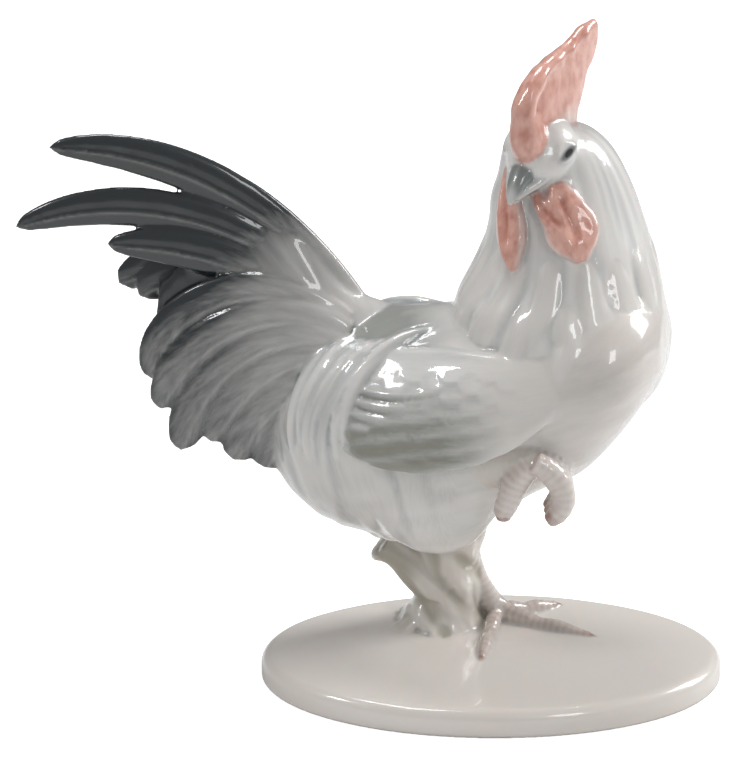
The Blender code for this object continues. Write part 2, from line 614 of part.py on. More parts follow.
def add_stump(form):
    """The stump under the belly, flared at the plinth, with one sawn branch."""
    foot = foot_place()
    ground = foot + Vector((-0.89 * STUMP_DIAMETER, -0.12 * STUMP_DIAMETER, 0.0))
    belly = on_body(-0.080, 0.19, -0.42)
    half = 0.5 * STUMP_DIAMETER
    rows = []
    for share, swell in ((-0.10, 1.75), (0.04, 1.40), (0.14, 1.12), (0.30, 0.92), (0.50, 0.92),
                         (0.75, 1.10), (1.0, 1.25)):
        rows.append((*ground.lerp(belly, share), swell * half, 0.85 * swell * half))
    limb(form, rows, flat=Vector((1, 0, 0)), sides=20)
    fork = ground.lerp(belly, 0.34)
    tip = fork + Vector((-0.84, -0.04, 0.54)) * BRANCH_LENGTH
    half = 0.5 * BRANCH_DIAMETER
    rows = []
    for share, width, height in ((0.0, 1.9, 2.3), (0.42, 1.35, 1.75), (0.74, 0.98, 1.12),
                                 (0.90, 1.00, 1.04), (0.97, 1.10, 1.12), (1.0, 0.94, 0.96)):
        rows.append((*fork.lerp(tip, share), width * half, height * half))
    limb(form, rows)
    web = 0.20 * STUMP_DIAMETER
    near_leg = Vector((0.50 * STUMP_DIAMETER, 0.10 * STUMP_DIAMETER, 0.0))
    rows = [(*(ground.lerp(belly, share) + near_leg * lean), 1.1 * web, web)
            for share, lean in ((-0.05, 1.15), (0.25, 1.10), (0.6, 0.85), (1.0, 0.7))]
    limb(form, rows, flat=Vector((1, 0, 0)))
    for heading, reach in ((200.0, 1.05), (255.0, 0.90), (150.0, 0.95)):
        ahead = Vector((math.cos(math.radians(heading)), math.sin(math.radians(heading)), 0.0))
        far = ground + ahead * (reach * STUMP_DIAMETER)
        near = ground + Vector((0.0, 0.0, 0.34 * STUMP_DIAMETER))
        limb(form, [(*near, 0.26 * STUMP_DIAMETER, 0.24 * STUMP_DIAMETER),
                    (*near.lerp(far, 0.55), 0.17 * STUMP_DIAMETER, 0.13 * STUMP_DIAMETER),
                    (*far, 0.07 * STUMP_DIAMETER, 0.05 * STUMP_DIAMETER)],
             flat=ahead.cross(Vector((0, 0, 1))))


def base_mesh():
    """The oval plinth: a chamfered foot, a rounded shoulder and a slightly domed top."""
    turns = 4
    profile = [(0.0, BASE_CHAMFER), (BASE_CHAMFER, 0.0)]
    for step in range(turns + 1):
        angle = 0.5 * math.pi * step / turns
        profile.append((BASE_HEIGHT - BASE_EDGE_RADIUS * (1.0 - math.sin(angle)),
                        BASE_EDGE_RADIUS * (1.0 - math.cos(angle))))
    half_length, half_depth = 0.5 * BASE_LENGTH, 0.5 * BASE_DEPTH
    reach = half_depth - BASE_EDGE_RADIUS
    for share in (0.3, 0.65, 0.98):
        profile.append((BASE_HEIGHT + BASE_CROWN * math.sin(0.5 * math.pi * share),
                        BASE_EDGE_RADIUS + share * reach))
    rings = [oval(Vector((0, 0, height)), Vector((1, 0, 0)), Vector((0, 1, 0)),
                  half_length - inset, half_depth - inset, BASE_SIDES) for height, inset in profile]
    form = bmesh.new()
    loft(form, rings)
    return form


def new_object(name, form, collection):
    """Turn a bmesh into a named object in a collection."""
    mesh = bpy.data.meshes.new(name)
    form.to_mesh(mesh)
    form.free()
    item = bpy.data.objects.new(name, mesh)
    collection.objects.link(item)
    return item


def cutter(name, form, collection):
    """An object that only shapes another one."""
    item = new_object(name, form, collection)
    item.hide_render = True
    item.display_type = "WIRE"
    return item


def combine(target, other, operation):
    """Add or cut another object with a Boolean modifier."""
    modifier = target.modifiers.new(other.name, "BOOLEAN")
    modifier.operation = operation
    modifier.object = other
    modifier.solver = "EXACT"


def porcelain():
    """White glazed porcelain."""
    material = bpy.data.materials.new("glazed_porcelain")
    material.use_nodes = True
    shader = material.node_tree.nodes["Principled BSDF"]
    shader.inputs["Base Color"].default_value = GLAZE_COLOUR
    shader.inputs["Roughness"].default_value = 0.12
    shader.inputs["Metallic"].default_value = 0.0
    return material


def underside_cutters(collection):
    """The shallow recess that leaves a foot ring, and the small vent in it."""
    form = bmesh.new()
    half_length = 0.5 * BASE_LENGTH - FOOT_RING_WIDTH
    half_depth = 0.5 * BASE_DEPTH - FOOT_RING_WIDTH
    draft = RECESS_DRAFT * UNDERSIDE_RECESS
    rings = [oval(Vector((0, 0, height)), Vector((1, 0, 0)), Vector((0, 1, 0)),
                  half_length - inset, half_depth - inset, BASE_SIDES)
             for height, inset in ((-UNDERSIDE_RECESS, -draft), (UNDERSIDE_RECESS, draft))]
    loft(form, rings)
    recess = cutter("underside_recess", form, collection)
    form = bmesh.new()
    bmesh.ops.create_cone(form, cap_ends=True, segments=24, radius1=0.5 * VENT_DIAMETER,
                          radius2=0.5 * VENT_DIAMETER, depth=2.0 * VENT_DEPTH,
                          matrix=Matrix.Translation((0.0, 0.0, UNDERSIDE_RECESS)))
    return recess, cutter("vent_hole", form, collection)


def evaluated_mesh(item):
    """A new mesh of the object with its modifiers applied."""
    graph = bpy.context.evaluated_depsgraph_get()
    return bpy.data.meshes.new_from_object(item.evaluated_get(graph))


def centre_on_origin(item, tools):
    """Move the figure and its cutters so that its bounding box is centred on the origin."""
    mesh = evaluated_mesh(item)
    for axis in (0, 1):
        values = [vertex.co[axis] for vertex in mesh.vertices]
        shift = -0.5 * (min(values) + max(values))
        for each in (item, *tools):
            each.location[axis] += shift
    bpy.data.meshes.remove(mesh)


def build():
    """Make the figure."""
    for item in list(bpy.data.objects):
        bpy.data.objects.remove(item)
    parts = bpy.data.collections.new("rooster_figurine")
    tools = bpy.data.collections.new("shaping_tools")
    for collection in (parts, tools):
        bpy.context.scene.collection.children.link(collection)

    form = bmesh.new()
    add_body(form)
    add_neck(form)
    skin = skin_of(form)
    add_hackles(form, skin)
    for side in (-1, 1):
        add_wing(form, side)
    add_head(form)
    add_comb(form)
    add_wattles(form, skin)
    add_tail(form)
    add_standing_leg(form)
    add_raised_leg(form)
    add_stump(form)
    figure = new_object("rooster_figurine", form, parts)

    melt = figure.modifiers.new("melt", "REMESH")
    melt.mode = "VOXEL"
    melt.voxel_size = VOXEL
    soften = figure.modifiers.new("soften", "SMOOTH")
    soften.factor = 0.5
    soften.iterations = round(SOFTENING)
    count = sum(len(face.vertices) - 2 for face in evaluated_mesh(figure).polygons)
    thin = figure.modifiers.new("thin", "DECIMATE")
    thin.ratio = min(1.0, TRIANGLES / count)

    plinth = cutter("plinth", base_mesh(), tools)
    combine(figure, plinth, "UNION")
    recess, vent = underside_cutters(tools)
    combine(figure, recess, "DIFFERENCE")
    combine(figure, vent, "DIFFERENCE")
    centre_on_origin(figure, (plinth, recess, vent))
    figure.data.materials.append(porcelain())


build()
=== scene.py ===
"""Rooster figurine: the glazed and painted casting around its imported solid, with a studio.

The bird is grown from lofted forms, melted into one skin, carved in low relief, painted by
vertex attributes and thinned. Metres, +Z up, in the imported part's own frame.
"""
import itertools
import logging
import math
from dataclasses import dataclass, field
from enum import Enum

import bmesh
import bpy
import numpy as np
from mathutils import Matrix, Vector
from mathutils.bvhtree import BVHTree
from mathutils.kdtree import KDTree


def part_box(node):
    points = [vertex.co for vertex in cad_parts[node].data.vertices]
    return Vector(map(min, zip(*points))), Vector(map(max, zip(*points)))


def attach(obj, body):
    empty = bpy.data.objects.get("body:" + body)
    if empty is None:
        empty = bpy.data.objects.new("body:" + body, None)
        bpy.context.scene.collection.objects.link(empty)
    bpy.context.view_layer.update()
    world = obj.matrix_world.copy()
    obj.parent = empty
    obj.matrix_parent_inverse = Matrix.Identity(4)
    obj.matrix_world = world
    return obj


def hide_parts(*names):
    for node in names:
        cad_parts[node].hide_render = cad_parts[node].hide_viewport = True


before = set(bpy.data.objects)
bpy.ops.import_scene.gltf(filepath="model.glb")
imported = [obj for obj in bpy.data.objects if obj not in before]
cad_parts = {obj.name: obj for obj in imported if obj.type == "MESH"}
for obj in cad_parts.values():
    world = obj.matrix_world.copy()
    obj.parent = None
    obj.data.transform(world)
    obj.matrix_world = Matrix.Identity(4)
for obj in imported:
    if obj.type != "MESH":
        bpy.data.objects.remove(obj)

log = logging.getLogger("rooster_figurine")

MM = 0.001
NODE = "rooster_figurine"
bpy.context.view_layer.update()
AHEAD = Vector((1.0, 0.0, 0.0))
ASIDE = Vector((0.0, 1.0, 0.0))
UP = Vector((0.0, 0.0, 1.0))
HASH_SEED = 2654435
HASH_PRIMES = (73856093, 19349663, 83492791)

# each paint, with how many passes it is smoothed by
PAINT_PASSES = {"slate": 12, "grey_and_shade": 3, "coral": 2, "blush": 6, "horn": 2, "sepia": 3, "olive_and_shade": 4,
                "warm": 8, "light": 1, "cavity": 3}


class Kind(Enum):
    """What a form is, which decides its carving and its paint."""
    BODY = 0
    NECK = 1
    HACKLE = 2
    SADDLE = 3
    WING = 4
    QUILL = 5
    SKULL = 6
    LOBE = 7
    EYE = 8
    BEAK = 9
    COMB = 10
    WATTLE = 11
    TAIL_ROOT = 12
    FEATHER = 13
    SHANK = 14
    TOE = 15
    STUMP = 16
    BRANCH = 17
    PLINTH = 18


@dataclass(frozen=True)
class Ring:
    """One oval section of a form.

    Args:
        centre: middle of the section.
        across: unit direction of its first half size.
        up: unit direction of its second half size.
        half_width: first half size.
        half_height: second half size.
    """
    centre: Vector
    across: Vector
    up: Vector
    half_width: float
    half_height: float

    def corners(self, sides: int) -> list[Vector]:
        """The section's corners.

        Args:
            sides: how many corners.

        Returns:
            The corners in order round the section.
        """
        places = []
        for index in range(sides):
            angle = math.tau * index / sides
            places.append(self.centre + self.across * (self.half_width * math.cos(angle))
                          + self.up * (self.half_height * math.sin(angle)))
        return places


def smooth_rows(rows: list[tuple], steps: int) -> list[tuple]:
    """Set further rows between rows of numbers, on a smooth curve through them all.

    Args:
        rows: the rows that the curve passes through.
        steps: how many spans each gap is cut into.

    Returns:
        The longer list of rows.
    """
    result = []
    last = len(rows) - 1
    for index in range(last):
        before, start = rows[max(index - 1, 0)], rows[index]
        end, after = rows[index + 1], rows[min(index + 2, last)]
        for step in range(steps):
            t = step / steps
            result.append(tuple(
                0.5 * (2 * q + (r - p) * t + (2 * p - 5 * q + 4 * r - s) * t * t
                       + (3 * q - p - 3 * r + s) * t ** 3)
                for p, q, r, s in zip(before, start, end, after)))
    result.append(tuple(rows[-1]))
    return result


def level_frame(origin: Vector, heading: float) -> Matrix:
    """A frame with its first axis level along a heading.

    Args:
        origin: the frame's origin.
        heading: angle of the first axis from +X, in radians.

    Returns:
        The frame as a 4 by 4 matrix.
    """
    return Matrix.Translation(origin) @ Matrix.Rotation(heading, 4, "Z")


def turned_axes(turn: Matrix) -> tuple[Vector, ...]:
    """The unit directions of a frame's three axes."""
    return tuple(turn.to_3x3() @ axis for axis in (AHEAD, ASIDE, UP))


def read_rows(items: bpy.types.bpy_prop_collection, name: str, width: int = 3,
              number: type = float) -> np.ndarray:
    """One property of all of a mesh's items.

    Args:
        items: the mesh's vertices, edges or faces, or an attribute's data.
        name: the property.
        width: how many numbers it has.
        number: their type.

    Returns:
        One row for each item.
    """
    values = np.empty(len(items) * width, dtype=number)
    items.foreach_get(name, values)
    return values.reshape(-1, width)


def add_object(name: str, data: bpy.types.ID) -> bpy.types.Object:
    """A new object in the scene, around a mesh, a light or a camera."""
    item = bpy.data.objects.new(name, data)
    bpy.context.scene.collection.objects.link(item)
    return item


def heading_vector(degrees: float) -> Vector:
    """A level unit direction at an angle from +X."""
    return Vector((math.cos(math.radians(degrees)), math.sin(math.radians(degrees)), 0.0))


def smooth_step(value: np.ndarray, low: float, high: float) -> np.ndarray:
    """A soft ramp from 0 at `low` to 1 at `high`, either way round."""
    t = np.clip((value - low) / (high - low), 0.0, 1.0)
    return t * t * (3.0 - 2.0 * t)


def bell(value: np.ndarray, middle: float, spread: float) -> np.ndarray:
    """A smooth bump of height 1 round `middle`."""
    return np.exp(-((value - middle) / spread) ** 2)


def soft_noise(points: np.ndarray, seed: int = 0) -> np.ndarray:
    """Smooth noise with a lattice spacing of one.

    Args:
        points: rows of three coordinates.
        seed: which of the patterns.

    Returns:
        A value from 0 to 1 for each row.
    """
    cell = np.floor(points).astype(np.int64)
    t = points - cell
    t = t * t * (3.0 - 2.0 * t)
    total = np.zeros(len(points))
    for corner in itertools.product((0, 1), repeat=3):
        at = cell + np.array(corner)
        mixed = seed * HASH_SEED
        for column, prime in zip(at.T, HASH_PRIMES):
            mixed = mixed ^ (column * prime)
        mixed = (mixed ^ (mixed >> 13)) * 1274126177 & 0xFFFFFFFF
        weight = np.prod(np.where(corner, t, 1.0 - t), axis=1)
        total += weight * (((mixed ^ (mixed >> 16)) & 0xFFFF) / 65535.0)
    return total


@dataclass
class Skin:
    """The melted surface, vertex by vertex, while it is carved and painted.

    Lengths are in millimetres. `offset` holds the place in the form's section and along it,
    `extent` the section's half sizes and the share of the form's length.
    """
    place: np.ndarray
    normal: np.ndarray
    kind: np.ndarray
    number: np.ndarray
    offset: np.ndarray
    extent: np.ndarray
    relief: np.ndarray = field(init=False)
    strand: np.ndarray = field(init=False)
    paint: dict[str, np.ndarray] = field(init=False)

    def __post_init__(self) -> None:
        """Start with no carving and no paint."""
        count = len(self.place)
        self.relief = np.zeros(count)
        self.strand = self.place * 0.2
        self.paint = {name: np.zeros(count) for name in PAINT_PASSES}

    def of(self, *kinds: Kind) -> np.ndarray:
        """Which vertices belong to forms of these kinds."""
        return np.isin(self.kind, [kind.value for kind in kinds])

    def across(self, mine: np.ndarray, axis: int) -> np.ndarray:
        """Place in the section as a share of its half size, from -1 to 1."""
        return np.clip(self.offset[mine, axis] / np.maximum(self.extent[mine, axis], 0.05), -1.0, 1.0)

    def angle(self, mine: np.ndarray) -> np.ndarray:
        """Angle round the section, in radians."""
        return np.arctan2(self.across(mine, 1), self.across(mine, 0))


class Clay:
    """Gathers lofted forms, each with a grain to follow, before they are melted together."""

    def __init__(self, shift: Vector) -> None:
        """Start an empty lump.

        Args:
            shift: from the middle of the plinth to the part's frame.
        """
        self.whole = bmesh.new()
        self.shift = Matrix.Translation(shift)
        self.kinds: list[Kind] = []
        self.sizes: list[int] = []
        self.offsets: list[np.ndarray] = []
        self.extents: list[np.ndarray] = []
        self.corners: list[np.ndarray] = []
        self.triangles: list[np.ndarray] = []
        self.vertex_total = 0

    def _take(self, form: bmesh.types.BMesh, kind: Kind) -> None:
        """Add a finished form, whose vertices carry their offset and extent."""
        bmesh.ops.recalc_face_normals(form, faces=form.faces)
        bmesh.ops.triangulate(form, faces=form.faces)
        mesh = bpy.data.meshes.new("form")
        form.to_mesh(mesh)
        form.free()
        mesh.transform(self.shift)
        for store, name in ((self.offsets, "offset"), (self.extents, "extent")):
            store.append(read_rows(mesh.attributes[name].data, "vector"))
            mesh.attributes.remove(mesh.attributes[name])
        self.corners.append(read_rows(mesh.vertices, "co"))
        self.triangles.append(read_rows(mesh.polygons, "vertices", 3, np.int32) + self.vertex_total)
        self.vertex_total += len(mesh.vertices)
        self.kinds.append(kind)
        self.sizes.append(len(mesh.polygons))
        self.whole.from_mesh(mesh)
        bpy.data.meshes.remove(mesh)

    def loft(self, kind: Kind, rings: list[Ring], sides: int = 24) -> None:
        """Grow a closed form through its sections.

        Args:
            kind: what the form is.
            rings: its sections in order.
            sides: corners of each section.
        """
        form = bmesh.new()
        offset = form.verts.layers.float_vector.new("offset")
        extent = form.verts.layers.float_vector.new("extent")
        start = bmesh.ops.create_circle(form, cap_ends=True, radius=1.0, segments=sides)
        cap = start["verts"][0].link_faces[0]
        along = [0.0]
        for before, after in zip(rings, rings[1:]):
            along.append(along[-1] + (after.centre - before.centre).length)
        for index, ring in enumerate(rings):
            if index:
                cap = bmesh.ops.extrude_discrete_faces(form, faces=[cap])["faces"][0]
            for step, (corner, place) in enumerate(zip(cap.loops, ring.corners(sides))):
                angle = math.tau * step / sides
                corner.vert.co = place
                corner.vert[offset] = Vector((ring.half_width * math.cos(angle),
                                              ring.half_height * math.sin(angle), along[index])) / MM
                corner.vert[extent] = Vector((ring.half_width / MM, ring.half_height / MM,
                                              along[index] / max(along[-1], 1e-9)))
        rim = [edge for edge in form.edges if edge.is_boundary]
        bmesh.ops.holes_fill(form, edges=rim, sides=0)
        self._take(form, kind)

    def limb(self, kind: Kind, rows: list[tuple], flat: Vector = ASIDE, sides: int = 20,
             steps: int = 7) -> None:
        """Loft along a bent path.

        Args:
            kind: what the form is.
            rows: x, y, z, half width along `flat` and half height.
            flat: the direction that the first half size leans to.
            sides: corners of each section.
            steps: spans between rows.
        """
        stations = smooth_rows(rows, steps)
        points = [Vector(row[:3]) for row in stations]
        rings = []
        for index, row in enumerate(stations):
            ahead = points[min(index + 1, len(points) - 1)] - points[max(index - 1, 0)]
            ahead.normalize()
            across = (flat - ahead * flat.dot(ahead)).normalized()
            rings.append(Ring(points[index], across, ahead.cross(across), row[3], row[4]))
        self.loft(kind, rings, sides)

    def egg(self, kind: Kind, centre: Vector, turn: Matrix, half_sizes: tuple) -> None:
        """Add a turned ellipsoid.

        Args:
            kind: what the form is.
            centre: its middle.
            turn: its rotation, 3 by 3.
            half_sizes: its three half sizes.
        """
        form = bmesh.new()
        offset = form.verts.layers.float_vector.new("offset")
        extent = form.verts.layers.float_vector.new("extent")
        bmesh.ops.create_uvsphere(form, u_segments=32, v_segments=20, radius=1.0)
        half = Vector(half_sizes)
        for vert in form.verts:
            vert[offset] = Vector(a * b for a, b in zip(vert.co, half)) / MM
            vert[extent] = Vector((half.x / MM, half.y / MM, 0.5 + 0.5 * vert.co.z))
        place = Matrix.Translation(centre) @ turn.to_4x4() @ Matrix.Diagonal((*half, 1.0))
        bmesh.ops.transform(form, matrix=place, verts=form.verts)
        self._take(form, kind)

    def skin(self) -> BVHTree:
        """A lookup of the nearest place on what has been laid so far, without the shift."""
        copy = self.whole.copy()
        bmesh.ops.transform(copy, matrix=self.shift.inverted(), verts=copy.verts)
        tree = BVHTree.FromBMesh(copy)
        copy.free()
        return tree


def draped_line(skin: BVHTree, start: Vector, lean: Vector, end_lean: Vector, length: float,
                steps: int = 10) -> list[tuple[Vector, Vector, Vector]]:
    """A line that hugs the skin while its heading turns.

    Args:
        skin: the surface that it lies on.
        start: a place near its start.
        lean: its first heading.
        end_lean: its last heading.
        length: how long it is.
        steps: how many spans it has.

    Returns:
        For each station its place, the direction out of the skin and the direction ahead.
    """
    place, outward = skin.find_nearest(start)[:2]
    line = []
    for index in range(steps + 1):
        heading = lean.lerp(end_lean, index / steps)
        ahead = (heading - outward * heading.dot(outward)).normalized()
        line.append((place.copy(), outward.copy(), ahead))
        place, outward = skin.find_nearest(place + ahead * (length / steps))[:2]
    return line


@dataclass
class Plinth:
    """The oval plinth with its foot ring, recess and vent."""
    length: float = 171.0 * MM
    depth: float = 101.6 * MM
    height: float = 10.5 * MM
    edge_radius: float = 4.5 * MM
    crown: float = 1.4 * MM
    chamfer: float = 1.0 * MM
    ring_width: float = 6.0 * MM
    recess: float = 2.0 * MM
    vent_radius: float = 2.0 * MM
    vent_depth: float = 5.0 * MM

    @property
    def top(self) -> float:
        """Height of the top at its middle."""
        return self.height + self.crown

    def model(self, clay: Clay) -> None:
        """Loft the plinth from the end of its vent, over the underside and side, to its top.

        Args:
            clay: the lump that takes it.
        """
        inner = self.ring_width
        half_depth = 0.5 * self.depth
        roof = self.recess + self.vent_depth
        rows = [(roof, 0.3 * MM, None), (roof, self.vent_radius, None),
                (self.recess, self.vent_radius, None)]
        for share in (0.35, 0.7):
            rows.append((self.recess, None, half_depth - share * (half_depth - inner)))
        rows += [(self.recess, None, inner + 0.6 * MM), (0.0, None, inner), (0.0, None, 0.5 * inner),
                 (0.0, None, self.chamfer), (self.chamfer, None, 0.0)]
        turns = 8
        for step in range(turns + 1):
            angle = 0.5 * math.pi * step / turns
            rows.append((self.height - self.edge_radius * (1.0 - math.sin(angle)), None,
                         self.edge_radius * (1.0 - math.cos(angle))))
        reach = half_depth - self.edge_radius
        for share in (0.15, 0.3, 0.45, 0.6, 0.75, 0.9, 0.985):
            rows.append((self.height + self.crown * math.sin(0.5 * math.pi * share), None,
                         self.edge_radius + share * reach))
        rings = []
        for height, radius, inset in rows:
            half = (radius, radius) if inset is None else (0.5 * self.length - inset, half_depth - inset)
            rings.append(Ring(UP * height, AHEAD, ASIDE, *half))
        clay.loft(Kind.PLINTH, rings, 160)

    def dress(self, skin: Skin) -> None:
        """Paint the plinth an uneven ivory, and let the clay's hand show in its top."""
        mine = skin.of(Kind.PLINTH)
        place = skin.place[mine]
        skin.relief[mine] = 0.25 * (soft_noise(place * 0.07) - 0.5) * smooth_step(place[:, 2], 9.0, 10.5)
        skin.paint["warm"][mine] = 0.55 + 0.45 * soft_noise(place * 0.05, 3)
        skin.strand[mine] = place * np.array((0.10, 0.10, 0.10))


@dataclass
class Stance:
    """Where the parts of the bird hang on each other, as shares of the part that carries them."""
    plinth: Plinth
    foot_forward: float = 3.0 * MM
    foot_aside: float = 26.0 * MM
    body_back: float = 9.0 * MM
    body_aside: float = 22.0 * MM
    leg_height: float = 88.0 * MM
    body_heading: float = math.radians(-12.0)
    body: tuple = (140.0 * MM, 76.0 * MM, 92.0 * MM)
    neck: tuple = (80.0 * MM, 72.0 * MM, 84.0 * MM)
    head: tuple = (32.0 * MM, 28.0 * MM, 32.0 * MM)
    head_heading: float = math.radians(-125.0)
    comb: tuple = (38.0 * MM, 9.0 * MM, 42.0 * MM)
    comb_heading: float = math.radians(-133.0)
    neck_root: tuple = (0.210, 0.055, 0.320)
    head_seat: tuple = (0.935, -0.081, -0.010)
    comb_root: tuple = (0.50, 0.01, 0.02)
    tail_root: tuple = (-0.342, 0.014, 0.362)

    def foot(self) -> Vector:
        """Where the standing foot meets the plinth."""
        return Vector((self.foot_forward, self.foot_aside, self.plinth.top - 0.5 * self.plinth.crown))

    def body_frame(self) -> Matrix:
        """Frame in the middle of the body, first axis towards the breast."""
        middle = self.foot() + Vector((-self.body_back, -self.body_aside, self.leg_height))
        return level_frame(middle, self.body_heading)

    def on_body(self, along: float, aside: float, rise: float) -> Vector:
        """A place given as shares of the body's length, width and height."""
        return self.body_frame() @ Vector(a * b for a, b in zip((along, aside, rise), self.body))

    def neck_frame(self) -> Matrix:
        """Frame at the root of the neck, square to the plinth."""
        return level_frame(self.on_body(*self.neck_root), 0.0)

    def on_neck(self, rise: float, along: float, aside: float) -> Vector:
        """A place given as shares of the neck's height, width and depth."""
        return self.neck_frame() @ Vector(a * b for a, b in zip((along, aside, rise), self.neck))

    def head_frame(self) -> Matrix:
        """Frame in the middle of the skull, first axis towards the beak."""
        return level_frame(self.on_neck(*self.head_seat), self.head_heading)

    def on_head(self, along: float, aside: float, rise: float) -> Vector:
        """A place given as shares of the head's length, width and length."""
        return self.head_frame() @ Vector(a * b for a, b in zip((along, aside, rise), self.head))

    def comb_frame(self) -> Matrix:
        """Frame at the front root of the comb, first axis towards its rear."""
        return level_frame(self.on_head(*self.comb_root), self.comb_heading + math.pi)

    def on_comb(self, along: float, aside: float, rise: float) -> Vector:
        """A place given as shares of the comb's length, thickness and height."""
        return self.comb_frame() @ Vector(a * b for a, b in zip((along, aside, rise), self.comb))

    def tail_frame(self) -> Matrix:
        """Frame at the root of the tail: first axis to the rear, second towards the right side."""
        return level_frame(self.on_body(*self.tail_root), math.pi)


@dataclass
class Trunk:
    """The body and the thighs."""
    stance: Stance
    thigh: tuple = (52.0 * MM, 34.0 * MM)
    # along, middle, half height and half width, as shares of the body
    sections: tuple = (
        (-0.520, -0.065, 0.170, 0.200), (-0.475, -0.045, 0.290, 0.300),
        (-0.394, -0.025, 0.400, 0.375), (-0.287, -0.012, 0.460, 0.438),
        (-0.181, -0.016, 0.492, 0.475), (-0.088, -0.010, 0.505, 0.490), (0.031, 0.075, 0.462, 0.500),
        (0.161, 0.180, 0.415, 0.500), (0.289, 0.262, 0.388, 0.475), (0.377, 0.335, 0.300, 0.420),
        (0.440, 0.380, 0.195, 0.320), (0.480, 0.410, 0.080, 0.160),
    )

    def model(self, clay: Clay) -> None:
        """Loft the body and set a thigh on each side.

        Args:
            clay: the lump that takes it.
        """
        turn = self.stance.body_frame().to_3x3()
        size = self.stance.body
        _, across, up = turned_axes(turn)
        rings = [Ring(self.stance.on_body(along, 0.0, rise), across, up, width * size[1], height * size[2])
                 for along, rise, height, width in smooth_rows(list(self.sections), 6)]
        clay.loft(Kind.BODY, rings, 72)
        half_length, half_width = 0.5 * self.thigh[0], 0.5 * self.thigh[1]
        clay.egg(Kind.BODY, self.stance.on_body(-0.090, -0.26, -0.15), turn,
                 (half_length, half_width, 1.10 * half_length))
        clay.egg(Kind.BODY, self.stance.on_body(-0.075, 0.22, -0.20), turn,
                 (0.9 * half_length, half_width, half_length))

    def section(self, along: float) -> tuple[float, float, float]:
        """The body's section at a distance along it.

        Args:
            along: distance from the middle of the body, towards the breast.

        Returns:
            Height of the section's middle, its half height and its half width.
        """
        share = along / self.stance.body[0]
        for before, after in zip(self.sections, self.sections[1:]):
            if share <= after[0]:
                break
        t = max(0.0, min(1.0, (share - before[0]) / (after[0] - before[0])))
        rise, height, width = (p + (q - p) * t for p, q in zip(before[1:], after[1:]))
        return rise * self.stance.body[2], height * self.stance.body[2], width * self.stance.body[1]

    def dress(self, skin: Skin) -> None:
        """Carve soft locks and the upright fluff of the rear, and paint shade between the tufts and over the
        back.
        """
        mine = skin.of(Kind.BODY)
        place = skin.place[mine]
        flow = np.column_stack((place[:, 0] * 0.035 + place[:, 2] * 0.02,
                                place[:, 1] * 0.06, place[:, 2] * 0.16 - place[:, 0] * 0.05))
        rear = smooth_step(place[:, 0], 30.0, 2.0) * smooth_step(place[:, 2], 128.0, 112.0)
        fluff = np.column_stack((place[:, 0] * 0.26 + place[:, 2] * 0.07, place[:, 1] * 0.20,
                                 place[:, 2] * 0.022))
        tuft = soft_noise(fluff, 6)
        skin.relief[mine] = 1.0 * (1.0 - rear) * (soft_noise(flow, 5) - 0.5) + 1.5 * rear * (tuft - 0.5)
        skin.strand[mine] = flow * 2.6 + (fluff * 2.6 - flow * 2.6) * rear[:, None]
        # painted shade: grey and olive over the back, between the saddle and the neck, and grey in the
        # hollows between the rear's tufts
        back = smooth_step(place[:, 2], 112.0, 136.0) * smooth_step(place[:, 0], 30.0, 4.0)
        skin.paint["grey_and_shade"][mine] = (0.14 + 0.24 * soft_noise(flow * 1.5, 7) + 0.85 * back
                                    + 0.32 * rear * smooth_step(tuft, 0.58, 0.34))
        skin.paint["warm"][mine] = 0.35 + 0.65 * smooth_step(place[:, 0], 30.0, 90.0)
        skin.paint["sepia"][mine] = 0.05 * smooth_step(place[:, 0], 40.0, 80.0)
        skin.paint["olive_and_shade"][mine] = 0.30 * back


